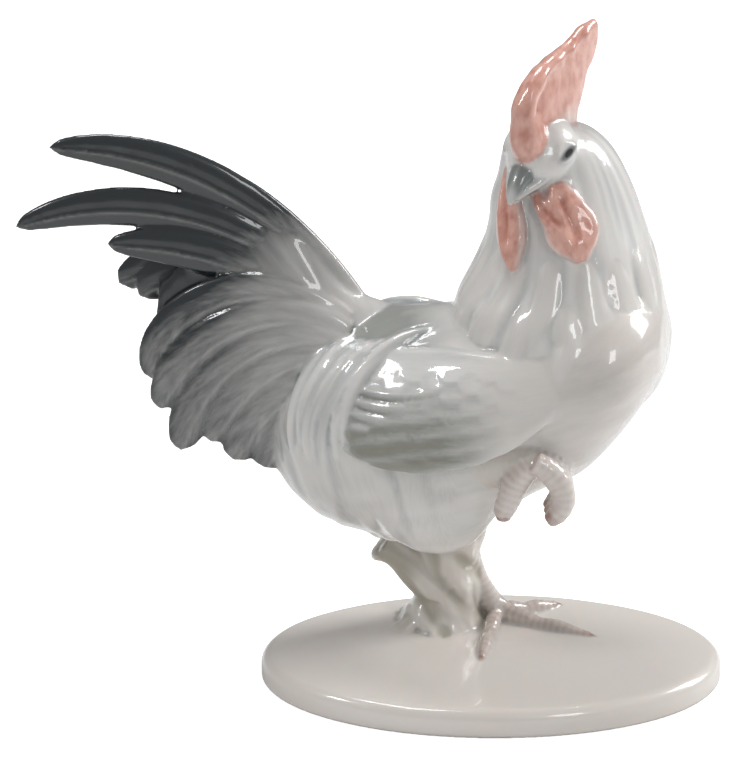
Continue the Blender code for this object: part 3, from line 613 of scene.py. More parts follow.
@dataclass
class Neck:
    """The hackled neck, from the breast to the crown, with its loose hackles."""
    stance: Stance
    hackle_length: float = 46.0 * MM
    hackle_width: float = 10.0 * MM
    hackle_thickness: float = 2.4 * MM
    hackle_count: int = 17
    # rise, along, aside, half width and half depth, as shares of the neck
    sections: tuple = (
        (-0.400, -0.020, 0.000, 0.170, 0.190), (-0.300, 0.005, 0.000, 0.270, 0.290),
        (-0.200, 0.025, -0.005, 0.355, 0.365), (-0.100, 0.038, -0.012, 0.418, 0.415),
        (0.000, 0.042, -0.018, 0.438, 0.445), (0.135, 0.002, -0.005, 0.470, 0.475),
        (0.248, -0.006, 0.010, 0.452, 0.450), (0.332, 0.008, 0.035, 0.422, 0.423),
        (0.410, 0.018, 0.050, 0.394, 0.398), (0.507, 0.022, 0.065, 0.371, 0.373),
        (0.595, 0.016, 0.080, 0.346, 0.340), (0.682, 0.002, 0.090, 0.327, 0.315),
        (0.773, -0.004, 0.090, 0.292, 0.285), (0.865, -0.021, 0.085, 0.259, 0.258),
        (0.932, -0.036, 0.075, 0.222, 0.225), (0.985, -0.052, 0.070, 0.165, 0.165),
        (1.005, -0.058, 0.070, 0.080, 0.080),
    )

    def model(self, clay: Clay) -> None:
        """Loft the neck.

        Args:
            clay: the lump that takes it.
        """
        size = self.stance.neck
        rings = [Ring(self.stance.on_neck(rise, along, aside), AHEAD, ASIDE, width * size[0], depth * size[1])
                 for rise, along, aside, width, depth in smooth_rows(list(self.sections), 6)]
        clay.loft(Kind.NECK, rings, 72)

    def add_hackles(self, clay: Clay, skin: BVHTree) -> None:
        """Lay the fringe of hackles over the shoulders and the breast.

        Args:
            clay: the lump that takes it.
            skin: the surface that they lie on.
        """
        middle = self.stance.on_neck(0.56, 0.0, 0.06)
        size = self.stance.neck
        for row, (drop, scale) in enumerate(((0.0, 1.0), (-0.20, 0.92))):
            for index in range(self.hackle_count):
                angle = math.tau * (index + 0.5 * row + 0.25) / self.hackle_count
                back = max(0.0, -math.cos(angle) + 0.25)
                around = Vector((math.cos(angle) * 0.44 * size[0], math.sin(angle) * 0.42 * size[1],
                                 drop * size[2]))
                lean = Vector((0.10 - 0.25 * back, 0.0, -1.0))
                settle = Vector((0.15 - 1.15 * back, 0.0, -0.9 + 0.25 * back))
                reach = scale * self.hackle_length * (0.92 + 0.16 * math.sin(2.4 * index + row) + 0.10 * back)
                line = draped_line(skin, middle + around, lean, settle, reach, 12)
                lay_plume(clay, Kind.HACKLE, line, self.hackle_width, self.hackle_thickness)

    def dress(self, skin: Skin) -> None:
        """Carve and shade the strands of the neck and of the loose hackles."""
        mine = skin.of(Kind.NECK)
        angle, along = skin.angle(mine), skin.offset[mine, 2]
        width = skin.extent[mine, 0]
        flow = np.column_stack((np.cos(angle) * 9.0, np.sin(angle) * 9.0, along * 0.028))
        fine = np.column_stack((np.cos(angle) * 22.0, np.sin(angle) * 22.0, along * 0.05))
        depth = smooth_step(width, 12.0, 26.0)
        lock, strand = soft_noise(flow, 11), soft_noise(fine, 12)
        skin.relief[mine] = depth * (0.70 * (lock - 0.5) + 0.22 * (strand - 0.5))
        skin.strand[mine] = fine * 0.8
        low = smooth_step(along, 30.0, -10.0)
        skin.paint["grey_and_shade"][mine] = (0.02 + 0.30 * smooth_step(lock, 0.62, 0.35)
                                    + low * 0.30 * smooth_step(strand, 0.58, 0.36))
        loose = skin.of(Kind.HACKLE)
        flow = np.column_stack((skin.offset[loose, 0] * 0.8, skin.offset[loose, 2] * 0.06,
                                skin.number[loose] * 3.7))
        skin.relief[loose] = 0.30 * (soft_noise(flow, 14) - 0.5)
        skin.strand[loose] = flow * 1.3
        skin.paint["grey_and_shade"][loose] = 0.06 + 0.20 * soft_noise(flow * 0.6, 15)
        skin.paint["warm"][loose] = 0.4


def lay_plume(clay: Clay, kind: Kind, line: list, width: float, thickness: float) -> None:
    """A loose feather on a draped line: narrow at its root, pointed at its tip.

    Args:
        clay: the lump that takes it.
        kind: what the feather is.
        line: stations from draped_line.
        width: its greatest width.
        thickness: its greatest thickness.
    """
    rings = []
    broadest = 0.45
    last = len(line) - 1
    for index, (place, outward, ahead) in enumerate(line):
        t = index / last
        swell = 0.35 + 0.65 * math.sin(0.5 * math.pi * min(t / broadest, 1.0))
        swell *= 1.0 - 2.2 * max(t - broadest, 0.0) ** 1.5
        dive = max(1.0 - t / 0.25, 0.0) + max((t - 0.62) / 0.38, 0.0)
        rings.append(Ring(place + outward * ((0.12 - 0.62 * dive ** 1.4) * thickness),
                          ahead.cross(outward).normalized(), outward, 0.5 * width * max(swell, 0.12),
                          0.5 * thickness * max(0.4 + 0.6 * swell, 0.3)))
    clay.loft(kind, rings, 16)


@dataclass
class Saddle:
    """The saddle hackles that fall from the back over the flanks."""
    stance: Stance
    length: float = 76.0 * MM
    width: float = 8.6 * MM
    thickness: float = 5.2 * MM
    count: int = 9

    def model(self, clay: Clay, skin: BVHTree) -> None:
        """Lay the plumes on both flanks.

        Args:
            clay: the lump that takes them.
            skin: the surface that they lie on.
        """
        for side in (-1, 1):
            for index in range(self.count):
                share = index / (self.count - 1)
                spread = 0.16 + 0.12 * math.sin(math.pi * share)
                start = self.stance.on_body(-0.08 - 0.26 * share, side * spread, 0.52)
                lean = Vector((-1.0, side * (0.25 + 0.25 * share), -0.25 - 0.30 * share))
                settle = Vector((0.30 - 0.15 * share, side * 0.06, -1.0))
                reach = self.length * (1.0 - 0.20 * share) * (0.95 + 0.07 * math.sin(2.6 * index))
                line = draped_line(skin, start, lean, settle, reach, 14)
                lay_plume(clay, Kind.SADDLE, line, self.width, self.thickness)

    def dress(self, skin: Skin) -> None:
        """Carve and shade the strands."""
        mine = skin.of(Kind.SADDLE)
        flow = np.column_stack((skin.offset[mine, 0] * 0.7, skin.offset[mine, 2] * 0.05,
                                skin.number[mine] * 2.9))
        tress = soft_noise(flow, 21)
        fade = smooth_step(skin.extent[mine, 2], 0.98, 0.62)
        edge = fade * smooth_step(np.abs(skin.across(mine, 0)), 0.30, 0.95)
        skin.relief[mine] = 0.9 * fade * (tress - 0.5) - 0.5 * edge
        skin.strand[mine] = flow * 1.3
        skin.paint["grey_and_shade"][mine] = 0.10 + 0.40 * fade * smooth_step(tress, 0.60, 0.32) + 0.40 * edge


@dataclass
class Wings:
    """The two folded wings; the scallops are in millimetres."""
    trunk: Trunk
    length: float = 78.0 * MM
    height: float = 37.0 * MM
    thickness: float = 10.0 * MM
    shoulder: tuple = (0.257, 0.330)
    quills: int = 6
    tilt: float = math.radians(8.0)
    scallop_pitch: float = 7.5
    scallop_width: float = 9.5
    # back, drop, half height and half thickness, as shares of the wing
    sections: tuple = (
        (0.00, 0.02, 0.08, 0.06), (0.05, 0.04, 0.26, 0.15), (0.18, 0.13, 0.43, 0.34),
        (0.36, 0.23, 0.54, 0.46), (0.56, 0.30, 0.61, 0.50), (0.75, 0.34, 0.60, 0.44),
        (0.89, 0.37, 0.53, 0.30), (0.965, 0.40, 0.40, 0.18), (1.00, 0.42, 0.16, 0.06),
    )

    def on_flank(self, side: int, back: float, drop: float, proud: float) -> tuple:
        """A place on the flank.

        Args:
            side: -1 for the right wing and 1 for the left.
            back: share of the wing's length behind its shoulder.
            drop: share of its height under its shoulder.
            proud: share of its thickness that the place stands off the body.

        Returns:
            The place, the direction out of the flank and the direction up along it.
        """
        frame_here = self.trunk.stance.body_frame()
        turn = frame_here.to_3x3()
        size = self.trunk.stance.body
        along = self.shoulder[0] * size[0] - back * self.length
        rise = self.shoulder[1] * size[2] - drop * self.height
        middle, half_height, half_width = self.trunk.section(along)
        lean = max(-0.9, min(0.9, (rise - middle) / half_height))
        aside = half_width * math.sqrt(1.0 - lean * lean)
        outward = Vector((0.0, side * aside / half_width ** 2, lean / half_height)).normalized()
        upward = Vector((0.0, -side * outward.z, abs(outward.y)))
        centre = Vector((along, side * aside, rise)) + outward * (proud * self.thickness)
        return frame_here @ centre, turn @ outward, turn @ upward

    def model(self, clay: Clay) -> None:
        """Lay a lens on each flank, with its long feathers along the lower edge.

        Args:
            clay: the lump that takes them.
        """
        for side in (-1, 1):
            rings = []
            for back, drop, half_height, half_thick in smooth_rows(list(self.sections), 6):
                centre, outward, upward = self.on_flank(side, back, drop, -0.08)
                lean, rise = math.sin(self.tilt), math.cos(self.tilt)
                rings.append(Ring(centre, outward * rise + upward * lean, upward * rise - outward * lean,
                                  half_thick * self.thickness, half_height * self.height))
            clay.loft(Kind.WING, rings, 36)
            for index in range(self.quills):
                share = index / (self.quills - 1)
                half = (0.092 - 0.02 * share) * self.height
                rows = []
                for reach, swell in ((0.0, 0.6), (0.35, 1.0), (0.65, 1.05), (0.88, 0.85), (1.0, 0.35)):
                    back = 0.34 + 0.16 * math.sqrt(share) + reach * (0.665 - 0.21 * math.sqrt(share))
                    drop = 0.68 - 0.56 * share + reach * 0.10 + 0.06 * math.sin(math.pi * reach)
                    proud = 0.40 - 0.16 * share - 0.12 * reach - 0.16 * max(reach - 0.6, 0.0)
                    centre, outward, upward = self.on_flank(side, back, drop, proud)
                    rows.append((*centre, swell * half, 0.18 * swell * self.thickness))
                clay.limb(Kind.QUILL, rows, flat=upward)

    def dress(self, skin: Skin) -> None:
        """Carve the scalloped coverts, band the rear in grey and paint shade low on it and under each quill.
        """
        mine = skin.of(Kind.WING)
        back = skin.offset[mine, 2]
        up = skin.offset[mine, 1]
        share = skin.extent[mine, 2]
        slope = (back * 0.55 - up) / self.scallop_pitch
        row = np.floor(slope)
        along = (back + 0.45 * up) / self.scallop_width + 0.5 * (row % 2)
        tip = slope - row
        edge = np.abs(along - np.floor(along) - 0.5) * 2.0
        drop = tip + 0.40 * edge ** 2
        scale = smooth_step(drop, 0.10, 1.0) * smooth_step(drop, 1.16, 1.0)
        rim = bell(drop, 1.06, 0.12)
        high = smooth_step(skin.across(mine, 1), 0.75, 0.30)
        fade = smooth_step(share, 0.12, 0.34) * high
        skin.relief[mine] = (0.30 * scale - 0.16 * rim) * fade
        skin.strand[mine] = np.column_stack((up * 0.9, back * 0.10, skin.number[mine] * 4.1))
        # painted shade: grey, olive and slate along the lower edge of the wing's rear, over its grey bands
        low = smooth_step(skin.across(mine, 1), 0.55, -0.85)
        rear = smooth_step(share, 0.20, 0.62)
        bands = 0.5 + 0.5 * np.cos(np.minimum(up, 9.0) * 0.95 + back * 0.12)
        skin.paint["grey_and_shade"][mine] = (0.14 + fade * 0.24 * rim * (1.0 - low)
                                    + rear * (0.16 + 0.78 * low) * (0.62 + 0.6 * bands))
        skin.paint["olive_and_shade"][mine] = rear * low * (0.25 + 0.40 * bands)
        skin.paint["slate"][mine] = 0.22 * rear * low * bands
        skin.paint["warm"][mine] = 0.55 * (1.0 - rear)
        quill = skin.of(Kind.QUILL)
        along = skin.extent[quill, 2]
        edge = np.abs(skin.across(quill, 0))
        under = smooth_step(skin.across(quill, 0), -0.10, -0.75)
        skin.relief[quill] = (0.20 - 0.55 * under) * smooth_step(along, 0.05, 0.3)
        skin.strand[quill] = np.column_stack((skin.offset[quill, 0] * 0.5, skin.offset[quill, 2] * 0.25,
                                              skin.number[quill] * 4.1))
        # painted shade under each quill
        skin.paint["grey_and_shade"][quill] = (0.40 + 0.10 * smooth_step(along, 0.1, 0.7)
                                     + 0.55 * under + 0.10 * smooth_step(edge, 0.6, 1.0))
        skin.paint["slate"][quill] = 0.30 * under
        skin.paint["olive_and_shade"][quill] = 0.10 + 0.40 * under
        # painted highlight along the upper side of each quill
        skin.paint["light"][quill] = 0.5 * bell(skin.across(quill, 0), 0.45, 0.25)


@dataclass
class Head:
    """Skull, brows, eyes, cheeks and beak."""
    stance: Stance
    beak: tuple = (17.0 * MM, 14.0 * MM)
    eye: tuple = (5.0 * MM, 2.2 * MM, 1.1 * MM)
    lid: float = 0.42 * MM
    lid_arches: tuple = (1.70, -1.40)
    # forward, rise, half width and half height, as shares of the head
    skull: tuple = (
        (-0.42, -0.14, 0.16, 0.16), (-0.28, -0.10, 0.33, 0.28), (-0.05, -0.05, 0.46, 0.39),
        (0.18, -0.06, 0.46, 0.40), (0.34, -0.10, 0.36, 0.33), (0.46, -0.13, 0.25, 0.25),
        (0.53, -0.15, 0.11, 0.12),
    )
    # forward, rise, half width and half height, as shares of the beak
    upper: tuple = (
        (0.00, -0.10, 0.40, 0.27), (0.26, -0.12, 0.35, 0.26), (0.50, -0.24, 0.26, 0.23),
        (0.68, -0.44, 0.18, 0.16), (0.78, -0.66, 0.07, 0.08),
    )
    # the same for the lower half of the beak
    lower: tuple = (
        (-0.05, -0.42, 0.34, 0.16), (0.30, -0.46, 0.27, 0.14), (0.50, -0.58, 0.16, 0.10),
        (0.60, -0.66, 0.08, 0.06),
    )
    # forward, aside, rise and half thickness, as shares of the beak
    gape: tuple = (
        (0.66, 0.12, -0.58, 0.04), (0.42, 0.30, -0.40, 0.08), (0.14, 0.48, -0.26, 0.10),
        (-0.10, 0.62, -0.14, 0.07),
    )

    def beak_root(self) -> Matrix:
        """Frame at the root of the beak."""
        return level_frame(self.stance.on_head(0.34, 0.0, -0.13), self.stance.head_heading)

    def model(self, clay: Clay) -> None:
        """Loft the skull and the beak and set the cheeks.

        Args:
            clay: the lump that takes them.
        """
        stance = self.stance
        turn = stance.head_frame().to_3x3()
        _, across, up = turned_axes(turn)
        size = stance.head
        rings = [Ring(stance.on_head(forward, 0.0, rise), across, up, width * size[1], height * size[2])
                 for forward, rise, width, height in smooth_rows(list(self.skull), 6)]
        clay.loft(Kind.SKULL, rings, 40)
        for side in (-1, 1):
            lobe = stance.on_head(-0.04, side * 0.47, -0.26)
            clay.egg(Kind.LOBE, lobe, turn, (0.13 * size[0], 0.11 * size[1], 0.22 * size[2]))
        root = self.beak_root()
        for sections in (self.upper, self.lower):
            rings = []
            for forward, rise, width, height in smooth_rows(list(sections), 6):
                centre = root @ Vector((forward * self.beak[0], 0.0, rise * self.beak[0]))
                rings.append(Ring(centre, across, up, width * self.beak[1], height * self.beak[0]))
            clay.loft(Kind.BEAK, rings, 28)
        for side in (-1, 1):
            rows = []
            for forward, aside, rise, swell in self.gape:
                offset = Vector((forward * self.beak[0], side * aside * self.beak[1], rise * self.beak[0]))
                rows.append((*(root @ offset), swell * self.beak[1], 1.25 * swell * self.beak[1]))
            clay.limb(Kind.BEAK, rows, flat=across, sides=12)

    def eye_frames(self, skin: BVHTree) -> list[Matrix]:
        """Frames on the skull at the eyes: first axis to the rear corner, third out of the skull.

        Args:
            skin: the surface of the head.

        Returns:
            The right eye's frame and the left eye's.
        """
        frames = []
        for side in (-1, 1):
            near = self.stance.on_head(0.20, side * 0.44, 0.03)
            place, outward = skin.find_nearest(near)[:2]
            rear = heading_vector(math.degrees(self.stance.head_heading) + 180.0) * 0.86 + UP * 0.46
            along = (rear - outward * rear.dot(outward)).normalized()
            turn = Matrix((along, outward.cross(along), outward)).transposed()
            frames.append(Matrix.Translation(place) @ turn.to_4x4())
        return frames

    def add_eyes(self, clay: Clay, skin: BVHTree) -> list[Matrix]:
        """Set the eyes and their lids.

        Args:
            clay: the lump that takes them.
            skin: the surface of the head.

        Returns:
            The frames of the two eyes, before the shift.
        """
        frames = self.eye_frames(skin)
        for place in frames:
            turn = place.to_3x3()
            clay.egg(Kind.EYE, place.translation, turn, self.eye)
            for lift in self.lid_arches:
                rows = []
                for step in range(7):
                    t = -1.0 + step / 3.0
                    arch = lift * self.eye[1] * (1.0 - t * t)
                    spot = place @ Vector((t * 1.12 * self.eye[0], arch, 0.25 * self.eye[2]))
                    thick = self.lid * (1.15 - abs(t) * 0.5)
                    rows.append((*spot, thick, 0.8 * thick))
                clay.limb(Kind.SKULL, rows, flat=turn @ ASIDE, sides=10, steps=4)
        return frames

    def dress(self, skin: Skin) -> None:
        """Carve the lobes, and paint the face and the beak."""
        face = skin.of(Kind.SKULL, Kind.EYE)
        skin.strand[face] = skin.place[face] * 0.15
        skin.paint["light"][face] = 0.6
        lobe = skin.of(Kind.LOBE)
        skin.paint["blush"][lobe] = 0.45
        skin.relief[lobe] = 0.5 * (soft_noise(skin.place[lobe] * 0.35, 31) - 0.5)
        beak = skin.of(Kind.BEAK)
        thin = smooth_step(skin.extent[beak, 0], 3.0, 1.5)
        side = np.abs(skin.across(beak, 0))
        ridge = smooth_step(side, 0.22, 0.0) * smooth_step(skin.across(beak, 1), 0.6, 1.0)
        # painted highlight: the beak is paler along the top of its ridge
        skin.paint["horn"][beak] = 0.92 - 0.62 * thin - 0.35 * ridge * (1.0 - thin)
        skin.strand[beak] = np.column_stack((side * 2.0, skin.offset[beak, 1], skin.offset[beak, 2] * 0.5))


@dataclass
class Comb:
    """The single comb, a blade with a knobbed ridge on its front edge.

    Its seat on the skull is in millimetres from its front root.
    """
    stance: Stance
    # rise, front edge, rear edge and half thickness, as shares of the comb
    sections: tuple = (
        (-0.15, 0.02, 0.62, 0.30), (0.00, -0.02, 0.72, 0.36), (0.13, -0.02, 0.76, 0.36),
        (0.27, 0.00, 0.79, 0.32), (0.46, 0.02, 0.86, 0.30), (0.59, 0.08, 0.93, 0.27),
        (0.70, 0.16, 1.00, 0.27), (0.84, 0.54, 1.03, 0.23), (0.93, 0.78, 1.03, 0.19),
        (0.985, 0.93, 0.99, 0.10),
    )
    # along, rise, half width and half thickness, as shares of the comb
    ridge: tuple = (
        (0.14, -0.10, 0.10, 0.40), (0.10, 0.02, 0.17, 0.62), (0.06, 0.14, 0.19, 0.68),
        (0.03, 0.26, 0.16, 0.62), (0.00, 0.35, 0.115, 0.52), (0.02, 0.44, 0.105, 0.50),
        (0.09, 0.55, 0.095, 0.48), (0.20, 0.645, 0.080, 0.42), (0.36, 0.72, 0.065, 0.36),
        (0.60, 0.80, 0.060, 0.31), (0.82, 0.90, 0.060, 0.27), (0.93, 0.95, 0.040, 0.18),
    )
    seat: tuple = (14.0, 15.0, 2.0)
    seat_reach: float = 9.0
    # along, rise and radius, as shares of the comb
    knobs: tuple = ((-0.03, 0.42, 0.080), (0.08, 0.565, 0.075), (0.25, 0.665, 0.07),
                    (0.44, 0.72, 0.065), (0.60, 0.795, 0.06), (0.80, 0.885, 0.06))

    def model(self, clay: Clay) -> None:
        """Loft the blade, the ridge along its front edge and the knobs on the ridge.

        Args:
            clay: the lump that takes them.
        """
        length, thick, height = self.stance.comb
        turn = self.stance.comb_frame().to_3x3()
        along, aside, _ = turned_axes(turn)
        rings = []
        for rise, front, rear, half in smooth_rows(list(self.sections), 5):
            rings.append(Ring(self.stance.on_comb(0.5 * (front + rear), 0.0, rise), along, aside,
                              0.5 * (rear - front) * length, half * thick))
        clay.loft(Kind.COMB, rings, 40)
        rows = [(*self.stance.on_comb(at, 0.0, rise), half * thick, swell * length)
                for at, rise, swell, half in self.ridge]
        clay.limb(Kind.COMB, rows, flat=aside)
        for at, rise, swell in self.knobs:
            clay.egg(Kind.COMB, self.stance.on_comb(at, 0.0, rise), turn,
                     (swell * length, 0.36 * thick, 0.9 * swell * height))

    def dress(self, skin: Skin) -> None:
        """Carve creases and paint the comb pink, paler where it meets the skull."""
        mine = skin.of(Kind.COMB)
        place = skin.place[mine]
        crease = soft_noise(place * np.array((0.30, 0.30, 0.12)), 41)
        skin.relief[mine] = 0.9 * (crease - 0.5) + 0.15 * (soft_noise(place * 0.7, 42) - 0.5)
        # painted shade: sepia in the comb's creases
        skin.paint["sepia"][mine] = 0.35 * smooth_step(crease, 0.40, 0.22)
        skin.strand[mine] = place * np.array((0.30, 0.30, 0.16))
        root = np.array(self.stance.comb_frame().translation + SHIFT) / MM
        seat = (place - root - np.array(self.seat)) / self.seat_reach
        skin.paint["coral"][mine] = 0.35 + 0.65 * smooth_step(np.linalg.norm(seat, axis=1), 0.6, 1.5)


@dataclass
class Wattles:
    """The wattles that hang on the hackle."""
    stance: Stance
    length: float = 28.0 * MM
    width: float = 21.0 * MM
    thickness: float = 6.0 * MM
    # half width, half thickness and how far off the hackle
    sections: tuple = (
        (0.16, 0.30, 0.00), (0.30, 0.44, 0.15), (0.40, 0.50, 0.30), (0.48, 0.54, 0.38),
        (0.49, 0.56, 0.42), (0.38, 0.52, 0.40), (0.12, 0.28, 0.30),
    )
    # share of the length, share of the width, start on the head and heading
    drapes: tuple = (
        (1.0, 0.95, (0.26, 0.33, -0.33), (0.34, -0.25, -1.0)),
        (1.30, 0.55, (0.40, -0.34, -0.21), (0.22, -0.20, -1.0)),
        (0.72, 0.42, (0.50, 0.13, -0.40), (0.80, -0.20, -1.0)),
    )

    def model(self, clay: Clay, skin: BVHTree) -> None:
        """Drape the lobes: a broad left one, a slim right one and a short one under the beak.

        Args:
            clay: the lump that takes them.
            skin: the surface that they hang against.
        """
        for reach, spread, start, lean in self.drapes:
            heading = Vector(lean)
            line = draped_line(skin, self.stance.on_head(*start), heading, heading, reach * self.length,
                               len(self.sections) - 1)
            rows = []
            for (place, outward, ahead), (width, thick, lift) in zip(line, self.sections):
                across = ahead.cross(outward).normalized()
                rows.append((*(place + outward * (lift * self.thickness)), *across, *outward,
                             width * spread * self.width, thick * self.thickness))
            rings = [Ring(Vector(row[0:3]), Vector(row[3:6]), Vector(row[6:9]), row[9], row[10])
                     for row in smooth_rows(rows, 7)]
            clay.loft(Kind.WATTLE, rings, 32)

    def dress(self, skin: Skin) -> None:
        """Carve a fold and two hollows, and paint the wattles pink with pale rims."""
        mine = skin.of(Kind.WATTLE)
        across, share = skin.across(mine, 0), skin.extent[mine, 2]
        front = smooth_step(skin.across(mine, 1), 0.0, 0.4)
        hollow = bell(across, -0.05, 0.16) * smooth_step(share, 0.10, 0.25) * smooth_step(share, 0.85, 0.6)
        fold = bell(across, 0.38, 0.24)
        dish = bell(across, -0.45, 0.28) * bell(share, 0.62, 0.22)
        skin.relief[mine] = front * (0.8 * fold - 1.3 * hollow - 0.9 * dish)
        skin.relief[mine] += 0.4 * (soft_noise(skin.place[mine] * 0.4, 51) - 0.5)
        skin.strand[mine] = skin.place[mine] * np.array((0.30, 0.30, 0.18))
        rim = smooth_step(np.abs(across), 0.72, 1.0)
        skin.paint["coral"][mine] = 1.0 - 0.55 * rim
        # painted shade: sepia in the wattles' two hollows
        skin.paint["sepia"][mine] = 0.45 * (dish + 0.6 * hollow)


@dataclass
class Tail:
    """The fan of sickles and coverts.

    `blunt` is where a sickle and a covert start to round off. A covert that starts further from
    the middle than `far_from` is repeated on the far side, `far_reach` as long.
    """
    stance: Stance
    sickle: tuple = (132.0 * MM, 15.0 * MM)
    covert: tuple = (89.0 * MM, 16.0 * MM)
    blunt: tuple = (0.55, 0.76)
    far_reach: float = 0.94
    far_from: float = 0.25
    feather_thickness: float = 7.0 * MM
    spread: float = 76.0 * MM
    thickness: float = 28.0 * MM
    # back, rise and half height, as shares of the spread, and half width
    core: tuple = (
        (-0.28, -0.12, 0.20, 0.50), (0.00, -0.05, 0.28, 0.46), (0.26, 0.03, 0.48, 0.36),
        (0.52, 0.07, 0.46, 0.22), (0.70, 0.09, 0.34, 0.13), (0.84, 0.10, 0.18, 0.06),
        (0.92, 0.10, 0.06, 0.03),
    )
    # share of the length, first angle, last angle, lateness, first aside, last aside, root
    sickles: tuple = (
        (1.00, 54.5, -3.0, 1.23, 0.00, 0.00, (-0.15, 0.30)),
        (1.018, 49.5, -24.0, 1.16, 0.05, 0.05, (-0.03, 0.22)),
        (0.70, 39.0, -4.0, 1.18, 0.14, 0.12, (0.06, 0.15)),
    )
    coverts: tuple = (
        (0.98, 45.0, -37.0, 1.35, -0.24, -0.26, (0.20, 0.03)),
        (0.90, 42.0, -46.0, 1.77, -0.20, -0.18, (0.20, -0.09)),
        (0.79, 43.0, -38.0, 1.62, -0.10, -0.06, (0.20, -0.12)),
        (1.03, 33.0, -88.0, 1.31, 0.30, 0.20, (0.02, 0.23)),
        (0.97, 38.0, -71.0, 0.75, 0.40, 0.28, (0.02, 0.12)),
        (0.96, 44.0, -78.0, 0.55, 0.46, 0.28, (0.04, -0.04)),
        (0.73, 30.0, -68.0, 0.50, 0.50, 0.32, (0.07, -0.20)),
        (0.62, 9.0, -67.0, 0.50, 0.50, 0.34, (0.12, -0.44)),
        (0.47, -7.0, -70.0, 0.50, 0.46, 0.34, (0.17, -0.71)),
    )

    def feather_line(self, reach: float, start: float, end: float, lateness: float, aside: float,
                     aside_end: float, root: tuple, steps: int = 36) -> list[Vector]:
        """Places along a feather that leaves at one angle and bends over to another.

        Args:
            reach: its length.
            start: its first angle above the level, in degrees.
            end: its last angle.
            lateness: above 1 it bends late, under 1 early.
            aside: how far from the tail's middle it starts.
            aside_end: how far from it it ends.
            root: where it starts, to the rear and up.
            steps: how many spans it has.

        Returns:
            The places in order.
        """
        frame_here = self.stance.tail_frame()
        back, rise = root
        places = [Vector((back, aside, rise))]
        for index in range(steps):
            share = (index + 0.5) / steps
            angle = math.radians(start + (end - start) * share ** lateness)
            back += math.cos(angle) * reach / steps
            rise += math.sin(angle) * reach / steps
            drift = aside + (aside_end - aside) * (index + 1) / steps
            places.append(Vector((back, drift, rise)))
        return [frame_here @ place for place in places]

    def add_feather(self, clay: Clay, feather: tuple, size: tuple, side: int) -> None:
        """One tail feather: a lens in section, broad past the middle, with a rounded tip.

        Args:
            clay: the lump that takes it.
            feather: its row in the table.
            size: length and width of its sort.
            side: 1 for the near side and -1 for the far one.
        """
        share, start, end, lateness, aside, aside_end, root = feather
        foot = tuple(value * self.thickness for value in root)
        blunt = self.blunt[0] if size[0] > self.covert[0] else self.blunt[1]
        line = self.feather_line(share * size[0], start, end, lateness, side * aside * self.thickness,
                                 side * aside_end * self.thickness, foot)
        rows = []
        for index, place in enumerate(line):
            t = index / (len(line) - 1)
            swell = 0.55 + 0.45 * math.sin(math.pi * min(t / 0.72, 1.0) * 0.5)
            taper = math.sqrt(max(1.0 - max((t - blunt) / (1.0 - blunt), 0.0) ** 2.2, 0.0))
            thick = (1.0 - 0.45 * t) * math.sqrt(max(1.0 - max((t - 0.85) / 0.152, 0.0) ** 2, 0.02))
            rows.append((*place, 0.5 * self.feather_thickness * thick,
                         0.5 * size[1] * (swell * taper + 0.03)))
        clay.limb(Kind.FEATHER, rows, sides=28, steps=2)

    def model(self, clay: Clay) -> None:
        """Set the feathers over a thin core.

        Args:
            clay: the lump that takes them.
        """
        frame_here = self.stance.tail_frame()
        _, across, up = turned_axes(frame_here)
        rings = []
        for back, rise, height, width in smooth_rows(list(self.core), 6):
            centre = frame_here @ Vector((back * self.spread, 0.0, rise * self.spread))
            rings.append(Ring(centre, across, up, width * self.thickness, height * self.spread))
        clay.loft(Kind.TAIL_ROOT, rings, 40)
        for feather in self.sickles:
            self.add_feather(clay, feather, self.sickle, 1)
        for feather in self.coverts:
            self.add_feather(clay, feather, self.covert, 1)
            if feather[4] > self.far_from:
                self.add_feather(clay, feather, (self.far_reach * self.covert[0], self.covert[1]), -1)

    def dress(self, skin: Skin) -> None:
        """Carve shafts and barbs, and fade the slate in towards the tips, with pale shafts and notches."""
        root = np.array(self.stance.tail_frame().translation + SHIFT) / MM
        mine = skin.of(Kind.FEATHER)
        share = skin.extent[mine, 2]
        across = skin.across(mine, 1)
        shaft = across - 0.22
        out = skin.offset[mine, 1]
        along = skin.offset[mine, 2]
        barb = np.column_stack(((along - 2.0 * np.abs(out)) * 0.16, out * 0.10, skin.number[mine] * 3.1))
        live = smooth_step(share, 0.12, 0.35)
        skin.relief[mine] = live * (0.50 * bell(shaft, 0.0, 0.10) - 0.25 * bell(np.abs(shaft), 0.30, 0.20)
                                    + 0.30 * (soft_noise(barb, 61) - 0.5))
        skin.strand[mine] = np.column_stack(((along - 2.2 * np.abs(out)) * 0.16, out * 0.45,
                                             skin.number[mine] * 3.1))
        spot = skin.place[mine] - root
        far = np.linalg.norm(spot, axis=1)
        level = smooth_step(np.arctan2(spot[:, 2], -spot[:, 0]), 0.45, -0.2)
